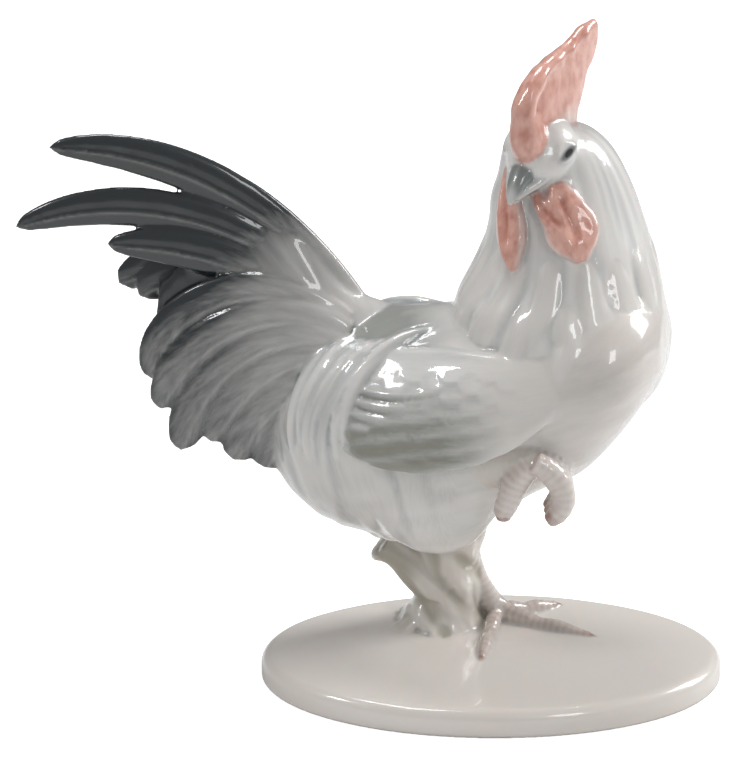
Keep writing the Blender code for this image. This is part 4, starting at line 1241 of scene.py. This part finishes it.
        # the slate deepens towards each feather's edges as painted shade between the feathers
        creases = smooth_step(np.abs(across), 0.60, 0.98)
        upper = 0.50 * smooth_step(far, 4.0, 30.0) + 0.62 * smooth_step(far, 30.0, 66.0)
        lower = 0.50 * smooth_step(far, 2.0, 26.0) + 0.30 * smooth_step(far, 24.0, 60.0)
        skin.paint["slate"][mine] = (upper + (lower - upper) * level
                                     + 0.24 * creases * live * smooth_step(far, 20.0, 50.0))
        notches = smooth_step(soft_noise(barb * np.array((2.2, 1.0, 1.0)), 62), 0.60, 0.80)
        skin.paint["light"][mine] = live * (0.70 * bell(shaft, 0.0, 0.05) + 0.30 * notches * level)
        core = skin.of(Kind.TAIL_ROOT)
        place = skin.place[core]
        distance = np.linalg.norm(place - root, axis=1)
        skin.paint["slate"][core] = (0.5 * smooth_step(distance, 4.0, 30.0)
                                     + 0.6 * smooth_step(distance, 30.0, 66.0))
        heading = np.arctan2(place[:, 2] - root[2] + 30.0, root[0] + 20.0 - place[:, 0])
        flow = np.column_stack((heading * 14.0, distance * 0.03, np.zeros(len(place))))
        skin.relief[core] = 1.4 * (soft_noise(flow, 63) - 0.5)
        skin.strand[core] = flow * 1.6


@dataclass
class Legs:
    """The standing leg and the raised, clenched foot; the scutes are in millimetres."""
    stance: Stance
    shank: float = 7.0 * MM
    toe: tuple = (40.0 * MM, 5.6 * MM)
    clench: float = 22.0 * MM
    # share of the way down, bow to the rear and half thickness
    bends: tuple = ((0.0, 0.0, 2.0), (0.30, 0.25, 1.05), (0.60, 0.50, 0.92), (0.82, 0.35, 1.10),
                    (0.94, 0.10, 1.20), (1.0, 0.0, 1.15))
    scute_pitch: float = 2.6
    fingers: tuple = (-0.16, 0.10, 0.34)
    # along the front toe, rise and half thickness
    tendon: tuple = ((-0.12, 5.6, 0.40), (-0.03, 3.2, 0.80), (0.11, 1.55, 0.90), (0.28, 0.85, 0.80))
    # heading in degrees and share of the length
    toes: tuple = ((-101.0, 0.97), (-26.0, 1.04), (24.0, 0.68), (158.0, 0.42))
    # share of the toe, rise and half thickness
    knuckles: tuple = (
        (0.0, 0.90, 1.0), (0.22, 1.00, 1.05), (0.42, 0.45, 0.88), (0.60, 0.55, 0.92),
        (0.78, 0.25, 0.74), (0.90, 0.20, 0.50), (1.0, -0.10, 0.22),
    )
    # ahead, rise and half thickness of a clenched toe
    curl: tuple = (
        (-0.12, 0.10, 1.00), (0.06, -0.02, 1.20), (0.24, -0.20, 1.20), (0.35, -0.42, 1.14),
        (0.35, -0.62, 1.08), (0.24, -0.80, 0.95), (0.10, -0.90, 0.62),
    )
    # the same for the rear toe
    spur: tuple = (
        (-0.14, 0.02, 1.7), (-0.36, -0.28, 1.75), (-0.48, -0.58, 1.60), (-0.57, -0.84, 1.35),
        (-0.58, -1.00, 0.80),
    )

    def model(self, clay: Clay) -> None:
        """Loft the standing leg, its toes, the tendon into the front toe and the raised foot.

        Args:
            clay: the lump that takes them.
        """
        foot = self.stance.foot()
        knee = self.stance.on_body(-0.062, 0.23, -0.50)
        half = 0.5 * self.shank
        ankle = foot + Vector((0.0, 0.0, 0.45 * self.shank))
        rows = []
        for share, bow, swell in self.bends:
            place = knee.lerp(ankle, share) - Vector((bow * half, 0.0, 0.0))
            rows.append((*place, swell * half, swell * half))
        clay.limb(Kind.SHANK, rows, flat=AHEAD)
        thick = 0.5 * self.toe[1]
        for heading, reach in self.toes:
            ahead = heading_vector(heading)
            rows = []
            for share, rise, swell in self.knuckles:
                place = foot + ahead * (share * reach * self.toe[0]) + UP * (rise * thick)
                rows.append((*place, swell * thick, swell * thick))
            clay.limb(Kind.TOE, rows, flat=ahead.cross(UP))
        ahead = heading_vector(self.toes[1][0])
        rows = []
        for reach, rise, swell in self.tendon:
            spot = foot + ahead * (reach * self.toe[0]) + UP * (rise * thick)
            rows.append((*spot, swell * thick, swell * thick))
        clay.limb(Kind.SHANK, rows, flat=ahead.cross(UP))
        self.model_raised(clay, thick)

    def model_raised(self, clay: Clay, half: float) -> None:
        """Loft the raised foot.

        Args:
            clay: the lump that takes it.
            half: half a toe's thickness.
        """
        joint = self.stance.on_body(0.210, -0.490, 0.040)
        thigh = self.stance.on_body(0.060, -0.360, 0.000)
        rows = [(*thigh, 3.8 * half, 4.2 * half), (*thigh.lerp(joint, 0.6), 2.7 * half, 3.2 * half),
                (*joint, 2.0 * half, 1.7 * half)]
        clay.limb(Kind.SHANK, rows)
        for aside in self.fingers:
            rows = []
            for ahead, rise, swell in self.curl:
                place = joint + Vector((ahead, aside - 0.12 * abs(rise), rise)) * self.clench
                rows.append((*place, swell * half * 1.15, swell * half * 1.35))
            clay.limb(Kind.TOE, rows)
        rows = []
        for ahead, rise, swell in self.spur:
            place = joint + Vector((ahead, 0.02, rise)) * self.clench
            rows.append((*place, swell * half, swell * half))
        clay.limb(Kind.TOE, rows)

    def dress(self, skin: Skin) -> None:
        """Carve the scutes and paint the legs ivory with a pinkish brown, fainter high up."""
        mine = skin.of(Kind.SHANK, Kind.TOE)
        along, share = skin.offset[mine, 2], skin.extent[mine, 2]
        scute = np.abs(np.sin(math.pi * along / self.scute_pitch))
        skin.relief[mine] = 0.34 * scute - 0.15
        skin.strand[mine] = np.column_stack((skin.angle(mine) * 0.8, along * 0.35, skin.number[mine] * 2.3))
        tip = skin.of(Kind.TOE)[mine] * smooth_step(share, 0.80, 1.0)
        inner = smooth_step(skin.across(mine, 1), 0.2, -0.9)
        skin.paint["warm"][mine] = 0.7
        skin.paint["sepia"][mine] = 0.10 + 0.40 * (1.0 - scute) ** 2 + 0.55 * tip + 0.22 * inner
        # painted shade: olive grey on the leg high up, under the belly
        upper = skin.of(Kind.SHANK) & (skin.place[:, 2] > 70.0)
        skin.paint["sepia"][upper] *= 0.12
        skin.paint["olive_and_shade"][upper] = 0.25


@dataclass
class Stump:
    """The tree stump under the belly, with one sawn branch."""
    stance: Stance
    diameter: float = 23.0 * MM
    branch: tuple = (30.0 * MM, 10.5 * MM)
    # heading in degrees and reach
    roots: tuple = ((205.0, 0.85), (262.0, 0.66), (150.0, 0.8))
    # share of the way up and half thickness
    girth: tuple = ((-0.10, 1.75), (0.04, 1.40), (0.14, 1.12), (0.30, 0.92), (0.50, 0.92), (0.75, 1.10),
                    (1.0, 1.25))
    # share of the branch, half width and half height
    bough: tuple = ((0.0, 1.9, 2.3), (0.42, 1.35, 1.75), (0.74, 0.98, 1.12), (0.90, 1.00, 1.04),
                    (0.97, 1.10, 1.12), (1.0, 0.94, 0.96))
    # share of the way up and lean towards the leg
    web: tuple = ((-0.05, 0.80), (0.25, 0.75), (0.6, 0.60), (1.0, 0.5))
    # share of a root, half width and half height
    root: tuple = ((0.0, 0.34, 0.28), (0.5, 0.28, 0.16), (1.0, 0.16, 0.05))

    def model(self, clay: Clay) -> None:
        """Loft the trunk, the branch, the web towards the leg and the roots.

        Args:
            clay: the lump that takes them.
        """
        foot = self.stance.foot()
        ground = foot + Vector((-0.89 * self.diameter, -0.12 * self.diameter, 0.0))
        belly = self.stance.on_body(-0.080, 0.19, -0.42)
        half = 0.5 * self.diameter
        rows = []
        for share, swell in self.girth:
            rows.append((*ground.lerp(belly, share), swell * half, 0.85 * swell * half))
        clay.limb(Kind.STUMP, rows, flat=AHEAD, sides=32)
        fork = ground.lerp(belly, 0.34)
        tip = fork + Vector((-0.84, -0.04, 0.54)) * self.branch[0]
        half = 0.5 * self.branch[1]
        rows = [(*fork.lerp(tip, share), width * half, height * half) for share, width, height in self.bough]
        clay.limb(Kind.BRANCH, rows)
        web = 0.20 * self.diameter
        near_leg = Vector((0.50 * self.diameter, 0.10 * self.diameter, 0.0))
        rows = [(*(ground.lerp(belly, share) + near_leg * lean), 1.1 * web, web)
                for share, lean in self.web]
        clay.limb(Kind.STUMP, rows, flat=AHEAD)
        for heading, reach in self.roots:
            ahead = heading_vector(heading)
            far = ground + ahead * (reach * self.diameter)
            near = ground + UP * (0.34 * self.diameter)
            rows = [(*near.lerp(far, share), width * self.diameter, height * self.diameter)
                    for share, width, height in self.root]
            clay.limb(Kind.STUMP, rows, flat=ahead.cross(UP))

    def dress(self, skin: Skin) -> None:
        """Carve bark folds and paint the hollows a thin green-brown."""
        mine = skin.of(Kind.STUMP, Kind.BRANCH)
        angle, along = skin.angle(mine), skin.offset[mine, 2]
        place = skin.place[mine]
        slant = (place[:, 0] + 0.8 * place[:, 2]) * 0.20
        flow = np.column_stack((np.cos(angle) * 1.6, slant, along * 0.04))
        skin.relief[mine] = 2.2 * (soft_noise(flow, 71) - 0.5) + 0.3 * (soft_noise(flow * 3.0, 72) - 0.5)
        skin.strand[mine] = flow * 1.5
        skin.paint["olive_and_shade"][mine] = 0.10 + 0.55 * smooth_step(soft_noise(flow, 71), 0.60, 0.30)
        skin.paint["warm"][mine] = 0.6


@dataclass(frozen=True)
class GlazeColours:
    """The colours under the glaze, linear."""
    white: tuple = (0.80, 0.785, 0.76, 1.0)
    # a grey paint that also serves as painted shade in hollows, grooves and undersides
    grey_and_shade: tuple = (0.33, 0.355, 0.36, 1.0)
    slate: tuple = (0.019, 0.025, 0.029, 1.0)
    coral: tuple = (0.78, 0.44, 0.36, 1.0)
    coral_deep: tuple = (0.48, 0.16, 0.115, 1.0)
    horn: tuple = (0.17, 0.195, 0.19, 1.0)
    sepia: tuple = (0.33, 0.20, 0.165, 1.0)
    # an olive paint in the stump's hollows, and also painted shade on the back, under the wing and quills and
    # high on the raised leg
    olive_and_shade: tuple = (0.30, 0.275, 0.19, 1.0)
    ivory: tuple = (0.82, 0.76, 0.705, 1.0)
    iris: tuple = (0.02, 0.022, 0.022, 1.0)


@dataclass(frozen=True)
class GlazeFinish:
    """How the clear glaze and the clay under it answer light."""
    roughness: float = 0.30
    refraction: float = 1.5
    coat: float = 1.0
    coat_roughness: float = 0.03
    glow: float = 0.10
    glow_depth: float = 2.0 * MM
    bump: float = 0.25
    bump_depth: float = 0.06 * MM


@dataclass
class Porcelain:
    """The glazed porcelain, painted under the glaze by the skin's attributes."""
    colours: GlazeColours
    finish: GlazeFinish
    eyes: list[Matrix]
    eye: tuple
    eye_depth: float = 6.0 * MM

    def _attribute(self, name: str) -> bpy.types.NodeSocket:
        """The value of one of the skin's attributes."""
        node = self.nodes.new("ShaderNodeAttribute")
        node.attribute_name = name
        return node.outputs["Fac"]

    def _math(self, operation: str, first, second=0.0, clamp: bool = False) -> bpy.types.NodeSocket:
        """The result of one sum on sockets or numbers."""
        node = self.nodes.new("ShaderNodeMath")
        node.operation = operation
        node.use_clamp = clamp
        for socket, value in zip(node.inputs, (first, second)):
            if isinstance(value, (int, float)):
                socket.default_value = value
            else:
                self.links.new(value, socket)
        return node.outputs[0]

    def _line(self, value, gain: float, base: float) -> bpy.types.NodeSocket:
        """A socket's value times a gain, with a base added."""
        return self._math("ADD", self._math("MULTIPLY", value, gain), base)

    def _mix(self, share, below, above) -> bpy.types.NodeSocket:
        """Lay one colour over another.

        Args:
            share: socket that says how much of it covers.
            below: colour or socket under it.
            above: colour or socket of the paint.

        Returns:
            The mixed colour.
        """
        node = self.nodes.new("ShaderNodeMix")
        node.data_type = "RGBA"
        self.links.new(share, node.inputs[0])
        for socket, value in ((node.inputs[6], below), (node.inputs[7], above)):
            if isinstance(value, tuple):
                socket.default_value = value
            else:
                self.links.new(value, socket)
        return node.outputs[2]

    def _noise(self, vector, scale: float, detail: float = 2.0) -> bpy.types.NodeSocket:
        """Noise on a vector socket."""
        node = self.nodes.new("ShaderNodeTexNoise")
        node.inputs["Scale"].default_value = scale
        node.inputs["Detail"].default_value = detail
        self.links.new(vector, node.inputs["Vector"])
        return node.outputs["Fac"]

    def _ellipse(self, place: Matrix, half_sizes: tuple, soft: float, coordinates) -> bpy.types.NodeSocket:
        """A soft-edged ellipsoid mask in Object coordinates.

        Args:
            place: its frame.
            half_sizes: its three half sizes.
            soft: how wide its edge is, as a share of its size.
            coordinates: the Object coordinates.

        Returns:
            1 inside and 0 outside.
        """
        node = self.nodes.new("ShaderNodeMapping")
        node.vector_type = "TEXTURE"
        node.inputs["Location"].default_value = place.translation
        node.inputs["Rotation"].default_value = place.to_euler("XYZ")
        node.inputs["Scale"].default_value = half_sizes
        self.links.new(coordinates, node.inputs["Vector"])
        length = self.nodes.new("ShaderNodeVectorMath")
        length.operation = "LENGTH"
        self.links.new(node.outputs[0], length.inputs[0])
        ramp = self.nodes.new("ShaderNodeMapRange")
        ramp.interpolation_type = "SMOOTHSTEP"
        ramp.inputs["From Min"].default_value = 1.0
        ramp.inputs["From Max"].default_value = 1.0 - soft
        self.links.new(length.outputs["Value"], ramp.inputs["Value"])
        return ramp.outputs["Result"]

    def make(self) -> bpy.types.Material:
        """Build the material.

        Returns:
            The finished material.
        """
        material = bpy.data.materials.new("painted_glaze")
        material.use_nodes = True
        self.nodes = material.node_tree.nodes
        self.links = material.node_tree.links
        colours = self.colours
        coordinates = self.nodes.new("ShaderNodeTexCoord").outputs["Object"]
        strand = self.nodes.new("ShaderNodeAttribute")
        strand.attribute_name = "strand"
        streak = self._noise(strand.outputs["Vector"], 1.0)
        cloud = self._noise(coordinates, 90.0)
        cavity = self._attribute("cavity")
        # the hollows turn grey, both for glaze pooled there and as painted shade
        hollow = self._math("MULTIPLY", cavity, 0.55, clamp=True)

        colour = self._mix(self._attribute("warm"), colours.white, colours.ivory)
        grey_and_shade = self._math("MULTIPLY", self._attribute("grey_and_shade"), self._line(streak, 0.9, 0.55))
        colour = self._mix(self._math("ADD", grey_and_shade, hollow, clamp=True), colour, colours.grey_and_shade)
        layers = (("slate", 0.5, 0.76, colours.slate), ("light", 0.0, 0.35, colours.white),
                  ("sepia", 1.0, 0.55, colours.sepia), ("olive_and_shade", 0.0, 1.0, colours.olive_and_shade))
        for name, gain, base, paint in layers:
            cover = self._math("MULTIPLY", self._attribute(name), self._line(streak, gain, base), clamp=True)
            colour = self._mix(cover, colour, paint)
        deep = self._math("MULTIPLY", self._line(streak, 1.6, -0.62), 1.2, clamp=True)
        # the flesh deepens in its hollows, partly as painted shade
        deep = self._math("ADD", deep, self._math("MULTIPLY", cavity, 1.2), clamp=True)
        flesh = self._mix(deep, colours.coral, colours.coral_deep)
        for name, paint in (("coral", flesh), ("blush", flesh), ("horn", colours.horn)):
            colour = self._mix(self._attribute(name), colour, paint)
        rounds = ((1.5, 2.1, 0.8, 0.45, colours.grey_and_shade), (1.1, 1.0, 0.5, 0.75, colours.slate),
                  (0.50, 0.62, 0.3, 1.0, colours.iris))
        for place, (length, height, soft, cover, paint) in itertools.product(self.eyes, rounds):
            size = (length * self.eye[0], height * self.eye[1], self.eye_depth)
            mask = self._ellipse(place, size, soft, coordinates)
            colour = self._mix(self._math("MULTIPLY", mask, cover), colour, paint)

        finish = self.finish
        shader = self.nodes["Principled BSDF"]
        self.links.new(colour, shader.inputs["Base Color"])
        for name, value in (("Roughness", finish.roughness), ("IOR", finish.refraction),
                            ("Coat Weight", finish.coat), ("Coat Roughness", finish.coat_roughness),
                            ("Coat IOR", finish.refraction), ("Subsurface Weight", finish.glow),
                            ("Subsurface Scale", finish.glow_depth)):
            shader.inputs[name].default_value = value
        bump = self.nodes.new("ShaderNodeBump")
        bump.inputs["Strength"].default_value = finish.bump
        bump.inputs["Distance"].default_value = finish.bump_depth
        self.links.new(self._math("ADD", streak, cloud), bump.inputs["Height"])
        self.links.new(bump.outputs["Normal"], shader.inputs["Normal"])
        return material


@dataclass
class Casting:
    """Melts the forms into one skin, carves and paints it, and thins it for use.

    `roundness` is how many smoothing passes each kind of form gets, and `border` how far the
    number spreads into its neighbours.
    """
    voxel: float = 0.65 * MM
    softening: int = 3
    border: int = 8
    relief_passes: int = 3
    hollow_passes: int = 14
    neighbours: int = 4
    triangles: int = 190000
    name: str = "glazed_rooster"
    roundness: dict = field(default_factory=lambda: {
        Kind.BODY: 36, Kind.NECK: 30, Kind.HACKLE: 22, Kind.SADDLE: 5, Kind.WING: 14, Kind.QUILL: 2,
        Kind.SKULL: 5, Kind.LOBE: 8, Kind.COMB: 4, Kind.WATTLE: 3, Kind.TAIL_ROOT: 14, Kind.FEATHER: 2,
        Kind.SHANK: 4, Kind.TOE: 1, Kind.STUMP: 14, Kind.BRANCH: 5,
    })

    def _evaluated(self, item: bpy.types.Object) -> bpy.types.Mesh:
        """A new mesh of the object with its modifiers applied."""
        graph = bpy.context.evaluated_depsgraph_get()
        return bpy.data.meshes.new_from_object(item.evaluated_get(graph))

    def _move(self, fine: bpy.types.Mesh, place: np.ndarray) -> np.ndarray:
        """Move a mesh's vertices to these millimetres and give their new normals."""
        fine.vertices.foreach_set("co", (place * MM).ravel())
        fine.update()
        return read_rows(fine.vertices, "normal")

    def melt(self, clay: Clay) -> bpy.types.Mesh:
        """Make one closed skin of all the forms.

        Args:
            clay: the forms.

        Returns:
            The fine mesh.
        """
        mesh = bpy.data.meshes.new("clay")
        clay.whole.to_mesh(mesh)
        item = add_object("clay", mesh)
        remesh = item.modifiers.new("melt", "REMESH")
        remesh.mode = "VOXEL"
        remesh.voxel_size = self.voxel
        soften = item.modifiers.new("soften", "SMOOTH")
        soften.factor = 0.5
        soften.iterations = self.softening
        fine = self._evaluated(item)
        bpy.data.objects.remove(item)
        bpy.data.meshes.remove(mesh)
        return fine

    def read(self, fine: bpy.types.Mesh, clay: Clay) -> Skin:
        """Find for each vertex the form that it came from, and its place on that form.

        Args:
            fine: the melted mesh.
            clay: the forms.

        Returns:
            The skin to carve and paint.
        """
        place, normal = (read_rows(fine.vertices, name) for name in ("co", "normal"))
        tree = BVHTree.FromBMesh(clay.whole)
        hits = [tree.find_nearest(spot)[0:3:2] for spot in place.tolist()]
        spots = np.array([hit[0] for hit in hits])
        faces = np.array([hit[1] for hit in hits])
        corners = np.concatenate(clay.corners)
        triangle = np.concatenate(clay.triangles)[faces]
        number = np.repeat(np.arange(len(clay.sizes)), clay.sizes)[faces]
        kind = np.array([each.value for each in clay.kinds])[number]
        a, b, c = (corners[triangle[:, index]] for index in range(3))
        ab, ac, ap = b - a, c - a, spots - a
        d00, d01, d11 = (ab * ab).sum(1), (ab * ac).sum(1), (ac * ac).sum(1)
        d20, d21 = (ap * ab).sum(1), (ap * ac).sum(1)
        spread = np.maximum(d00 * d11 - d01 * d01, 1e-24)
        v = np.clip((d11 * d20 - d01 * d21) / spread, 0.0, 1.0)[:, None]
        w = np.clip((d00 * d21 - d01 * d20) / spread, 0.0, 1.0)[:, None]
        values = []
        for store in (clay.offsets, clay.extents):
            stored = np.concatenate(store)
            values.append((1.0 - v - w) * stored[triangle[:, 0]] + v * stored[triangle[:, 1]]
                          + w * stored[triangle[:, 2]])
        return Skin(place / MM, normal, kind, number, *values)

    def spread(self, values: np.ndarray, edges: np.ndarray, passes: int) -> np.ndarray:
        """Smooth values over neighbouring vertices.

        Args:
            values: one value, or one row, for each vertex.
            edges: pairs of vertices.
            passes: how many times.

        Returns:
            The smoothed values.
        """
        count = len(values)
        degree = np.bincount(edges.ravel(), minlength=count)
        flat = values.reshape(count, -1).astype(float)
        for _ in range(passes):
            for column in range(flat.shape[1]):
                total = np.bincount(edges[:, 0], weights=flat[edges[:, 1], column], minlength=count)
                total += np.bincount(edges[:, 1], weights=flat[edges[:, 0], column], minlength=count)
                flat[:, column] = 0.5 * flat[:, column] + 0.5 * total / degree
        return flat.reshape(values.shape)

    def soften_by_kind(self, fine: bpy.types.Mesh, skin: Skin, edges: np.ndarray) -> None:
        """Round each form off as much as the glaze does, without moving the others.

        Args:
            fine: the melted mesh.
            skin: its places and kinds.
            edges: pairs of vertices.
        """
        passes = np.zeros(len(Kind))
        for kind, number in self.roundness.items():
            passes[kind.value] = number
        wanted = self.spread(passes[skin.kind], edges, self.border)
        place = skin.place
        for step in range(max(self.roundness.values())):
            share = np.clip(wanted - step, 0.0, 1.0)[:, None]
            place = place + share * (self.spread(place, edges, 1) - place)
        skin.place, skin.normal = place, self._move(fine, place)

    def finish(self, clay: Clay, dressers: list) -> bpy.types.Object:
        """Melt, carve, paint and thin the casting.

        Args:
            clay: the forms.
            dressers: the sub-assemblies, each with a dress method.

        Returns:
            The finished object.
        """
        fine = self.melt(clay)
        skin = self.read(fine, clay)
        log.info("skin: %d vertices", len(skin.place))
        edges = read_rows(fine.edges, "vertices", 2, np.int32)
        self.soften_by_kind(fine, skin, edges)
        for dresser in dressers:
            dresser.dress(skin)
        relief = self.spread(skin.relief, edges, self.relief_passes)
        place = skin.place + skin.normal * relief[:, None]
        floor = place[:, 2] < 0.35
        place[floor, 2] = np.maximum(place[floor, 2], 0.0)
        place[(place[:, 2] < 0.22) & (skin.normal[:, 2] < -0.8), 2] = 0.0
        normal = self._move(fine, place)
        # the cavity paint greys the hollows, both as glaze pooled there and as painted shade
        broad = self.spread(place, edges, self.hollow_passes)
        skin.paint["cavity"] = np.clip(((broad - place) * normal).sum(1) * 2.2 - 0.12, 0.0, 1.0)
        for name, passes in PAINT_PASSES.items():
            skin.paint[name] = self.spread(skin.paint[name], edges, passes)
        return self.thin(fine, skin, place, normal)

    def thin(self, fine: bpy.types.Mesh, skin: Skin, place: np.ndarray,
             normal: np.ndarray) -> bpy.types.Object:
        """Thin the mesh and carry the paint and the fine normals over to it.

        Args:
            fine: the carved mesh.
            skin: its paint.
            place: its vertices.
            normal: its normals.

        Returns:
            The finished object.
        """
        item = add_object(self.name, fine)
        total = sum(len(polygon.vertices) - 2 for polygon in fine.polygons)
        decimate = item.modifiers.new("thin", "DECIMATE")
        decimate.ratio = min(1.0, self.triangles / total)
        mesh = self._evaluated(item)
        item.modifiers.clear()
        item.data = mesh
        mesh.name = self.name
        tree = KDTree(len(place))
        for index, spot in enumerate((place * MM).tolist()):
            tree.insert(spot, index)
        tree.balance()
        near = [tree.find_n(spot, self.neighbours) for spot in read_rows(mesh.vertices, "co").tolist()]
        index = np.array([[hit[1] for hit in hits] for hits in near])
        weight = 1.0 / (np.array([[hit[2] for hit in hits] for hits in near]) / MM + 0.05)
        weight /= weight.sum(1, keepdims=True)
        blended = (normal[index] * weight[:, :, None]).sum(1)
        blended /= np.linalg.norm(blended, axis=1, keepdims=True)
        for name, values in skin.paint.items():
            layer = mesh.attributes.new(name, "FLOAT", "POINT")
            layer.data.foreach_set("value", (values[index] * weight).sum(1).astype(np.float32))
        layer = mesh.attributes.new("strand", "FLOAT_VECTOR", "POINT")
        layer.data.foreach_set("vector", skin.strand[index[:, 0]].astype(np.float32).ravel())
        mesh.shade_smooth()
        mesh.normals_split_custom_set_from_vertices(blended.tolist())
        bpy.data.meshes.remove(fine)
        log.info("%s: %d triangles", self.name, sum(len(p.vertices) - 2 for p in mesh.polygons))
        return item


@dataclass
class Studio:
    """Pale floor, white background, soft boxes and the camera."""
    target: Vector = field(default_factory=lambda: Vector((-0.0005, 0.0, 0.1186)))
    distance: float = 1.2
    elevation: float = math.radians(22.0)
    focal: float = 3333.3
    frame_height: float = 761.0
    floor_size: float = 3.0
    floor_shade: float = 0.85
    floor_glow: float = 0.75
    fill: float = 0.27
    # name, place, width and height, watts
    boxes: tuple = (
        ("key_box", (-0.95, -0.45, 1.10), (0.22, 0.26), 3.2),
        ("front_box", (0.55, -1.0, 0.75), (0.22, 0.35), 1.6),
        ("rim_box", (1.05, 0.25, 0.75), (0.5, 0.6), 9.0),
        ("top_box", (-0.12, 0.20, 1.3), (0.5, 0.4), 6.5),
    )

    def floor(self) -> None:
        """A wide pale floor that glows a little for the camera."""
        form = bmesh.new()
        bmesh.ops.create_grid(form, x_segments=1, y_segments=1, size=self.floor_size)
        mesh = bpy.data.meshes.new("studio_floor")
        form.to_mesh(mesh)
        form.free()
        item = add_object("studio_floor", mesh)
        material = bpy.data.materials.new("studio_floor")
        material.use_nodes = True
        nodes, links = material.node_tree.nodes, material.node_tree.links
        nodes.clear()
        output = nodes.new("ShaderNodeOutputMaterial")
        paint = nodes.new("ShaderNodeBsdfDiffuse")
        paint.inputs["Color"].default_value = (self.floor_shade, self.floor_shade, self.floor_shade, 1.0)
        glow = nodes.new("ShaderNodeEmission")
        paths = nodes.new("ShaderNodeLightPath")
        seen = nodes.new("ShaderNodeMath")
        seen.operation = "MULTIPLY"
        links.new(paths.outputs["Is Camera Ray"], seen.inputs[0])
        seen.inputs[1].default_value = self.floor_glow
        links.new(seen.outputs[0], glow.inputs["Strength"])
        both = nodes.new("ShaderNodeAddShader")
        links.new(paint.outputs[0], both.inputs[0])
        links.new(glow.outputs[0], both.inputs[1])
        links.new(both.outputs[0], output.inputs["Surface"])
        mesh.materials.append(material)

    def world(self) -> None:
        """A white background and a dim even fill."""
        world = bpy.data.worlds.new("studio")
        bpy.context.scene.world = world
        world.use_nodes = True
        nodes, links = world.node_tree.nodes, world.node_tree.links
        background = nodes["Background"]
        paths = nodes.new("ShaderNodeLightPath")
        level = nodes.new("ShaderNodeMapRange")
        level.inputs["To Min"].default_value = self.fill
        level.inputs["To Max"].default_value = 1.0
        links.new(paths.outputs["Is Camera Ray"], level.inputs["Value"])
        links.new(level.outputs["Result"], background.inputs["Strength"])
        background.inputs["Color"].default_value = (1.0, 1.0, 1.0, 1.0)

    def box(self, name: str, place: tuple, size: tuple, power: float) -> None:
        """One soft box that faces the figure.

        Args:
            name: its name.
            place: where it stands.
            size: width and height.
            power: watts.
        """
        light = bpy.data.lights.new(name, "AREA")
        light.shape = "RECTANGLE"
        light.size, light.size_y = size
        light.energy = power
        item = add_object(name, light)
        item.location = place
        item.rotation_euler = (self.target - Vector(place)).to_track_quat("-Z", "Y").to_euler()

    def camera(self) -> None:
        """The camera at the photograph's angle."""
        data = bpy.data.cameras.new("camera")
        data.sensor_width = 36.0
        data.lens = data.sensor_width * self.focal / self.frame_height
        item = add_object("camera", data)
        away = Vector((0.0, -math.cos(self.elevation), math.sin(self.elevation)))
        item.location = self.target + away * self.distance
        item.rotation_euler = (-away).to_track_quat("-Z", "Y").to_euler()
        bpy.context.scene.camera = item

    def set_up(self) -> None:
        """Place everything."""
        self.floor()
        self.world()
        for box in self.boxes:
            self.box(*box)
        self.camera()
        bpy.context.scene.view_settings.view_transform = "Standard"


CAD_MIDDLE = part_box(NODE)[1].x - 0.5 * Plinth().length
SHIFT = Vector((CAD_MIDDLE, 0.0, 0.0))


def main() -> None:
    """Build the casting, then the studio."""
    logging.basicConfig(level=logging.INFO, format="%(name)s: %(message)s")
    plinth = Plinth()
    stance = Stance(plinth)
    trunk = Trunk(stance)
    neck = Neck(stance)
    saddle = Saddle(stance)
    wings = Wings(trunk)
    head = Head(stance)
    comb = Comb(stance)
    wattles = Wattles(stance)
    tail = Tail(stance)
    legs = Legs(stance)
    stump = Stump(stance)

    clay = Clay(SHIFT)
    trunk.model(clay)
    neck.model(clay)
    hide = clay.skin()
    neck.add_hackles(clay, hide)
    saddle.model(clay, hide)
    wings.model(clay)
    head.model(clay)
    eyes = head.add_eyes(clay, clay.skin())
    comb.model(clay)
    wattles.model(clay, hide)
    tail.model(clay)
    legs.model(clay)
    stump.model(clay)
    plinth.model(clay)
    log.info("forms: %d", len(clay.kinds))

    figure = Casting().finish(clay, [plinth, trunk, neck, saddle, wings, head, comb, wattles, tail, legs,
                                     stump])
    eyes = [Matrix.Translation(SHIFT) @ place for place in eyes]
    figure.data.materials.append(Porcelain(GlazeColours(), GlazeFinish(), eyes, head.eye).make())
    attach(figure, "root")
    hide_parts(NODE)
    Studio().set_up()


if __name__ == "__main__":
    main()
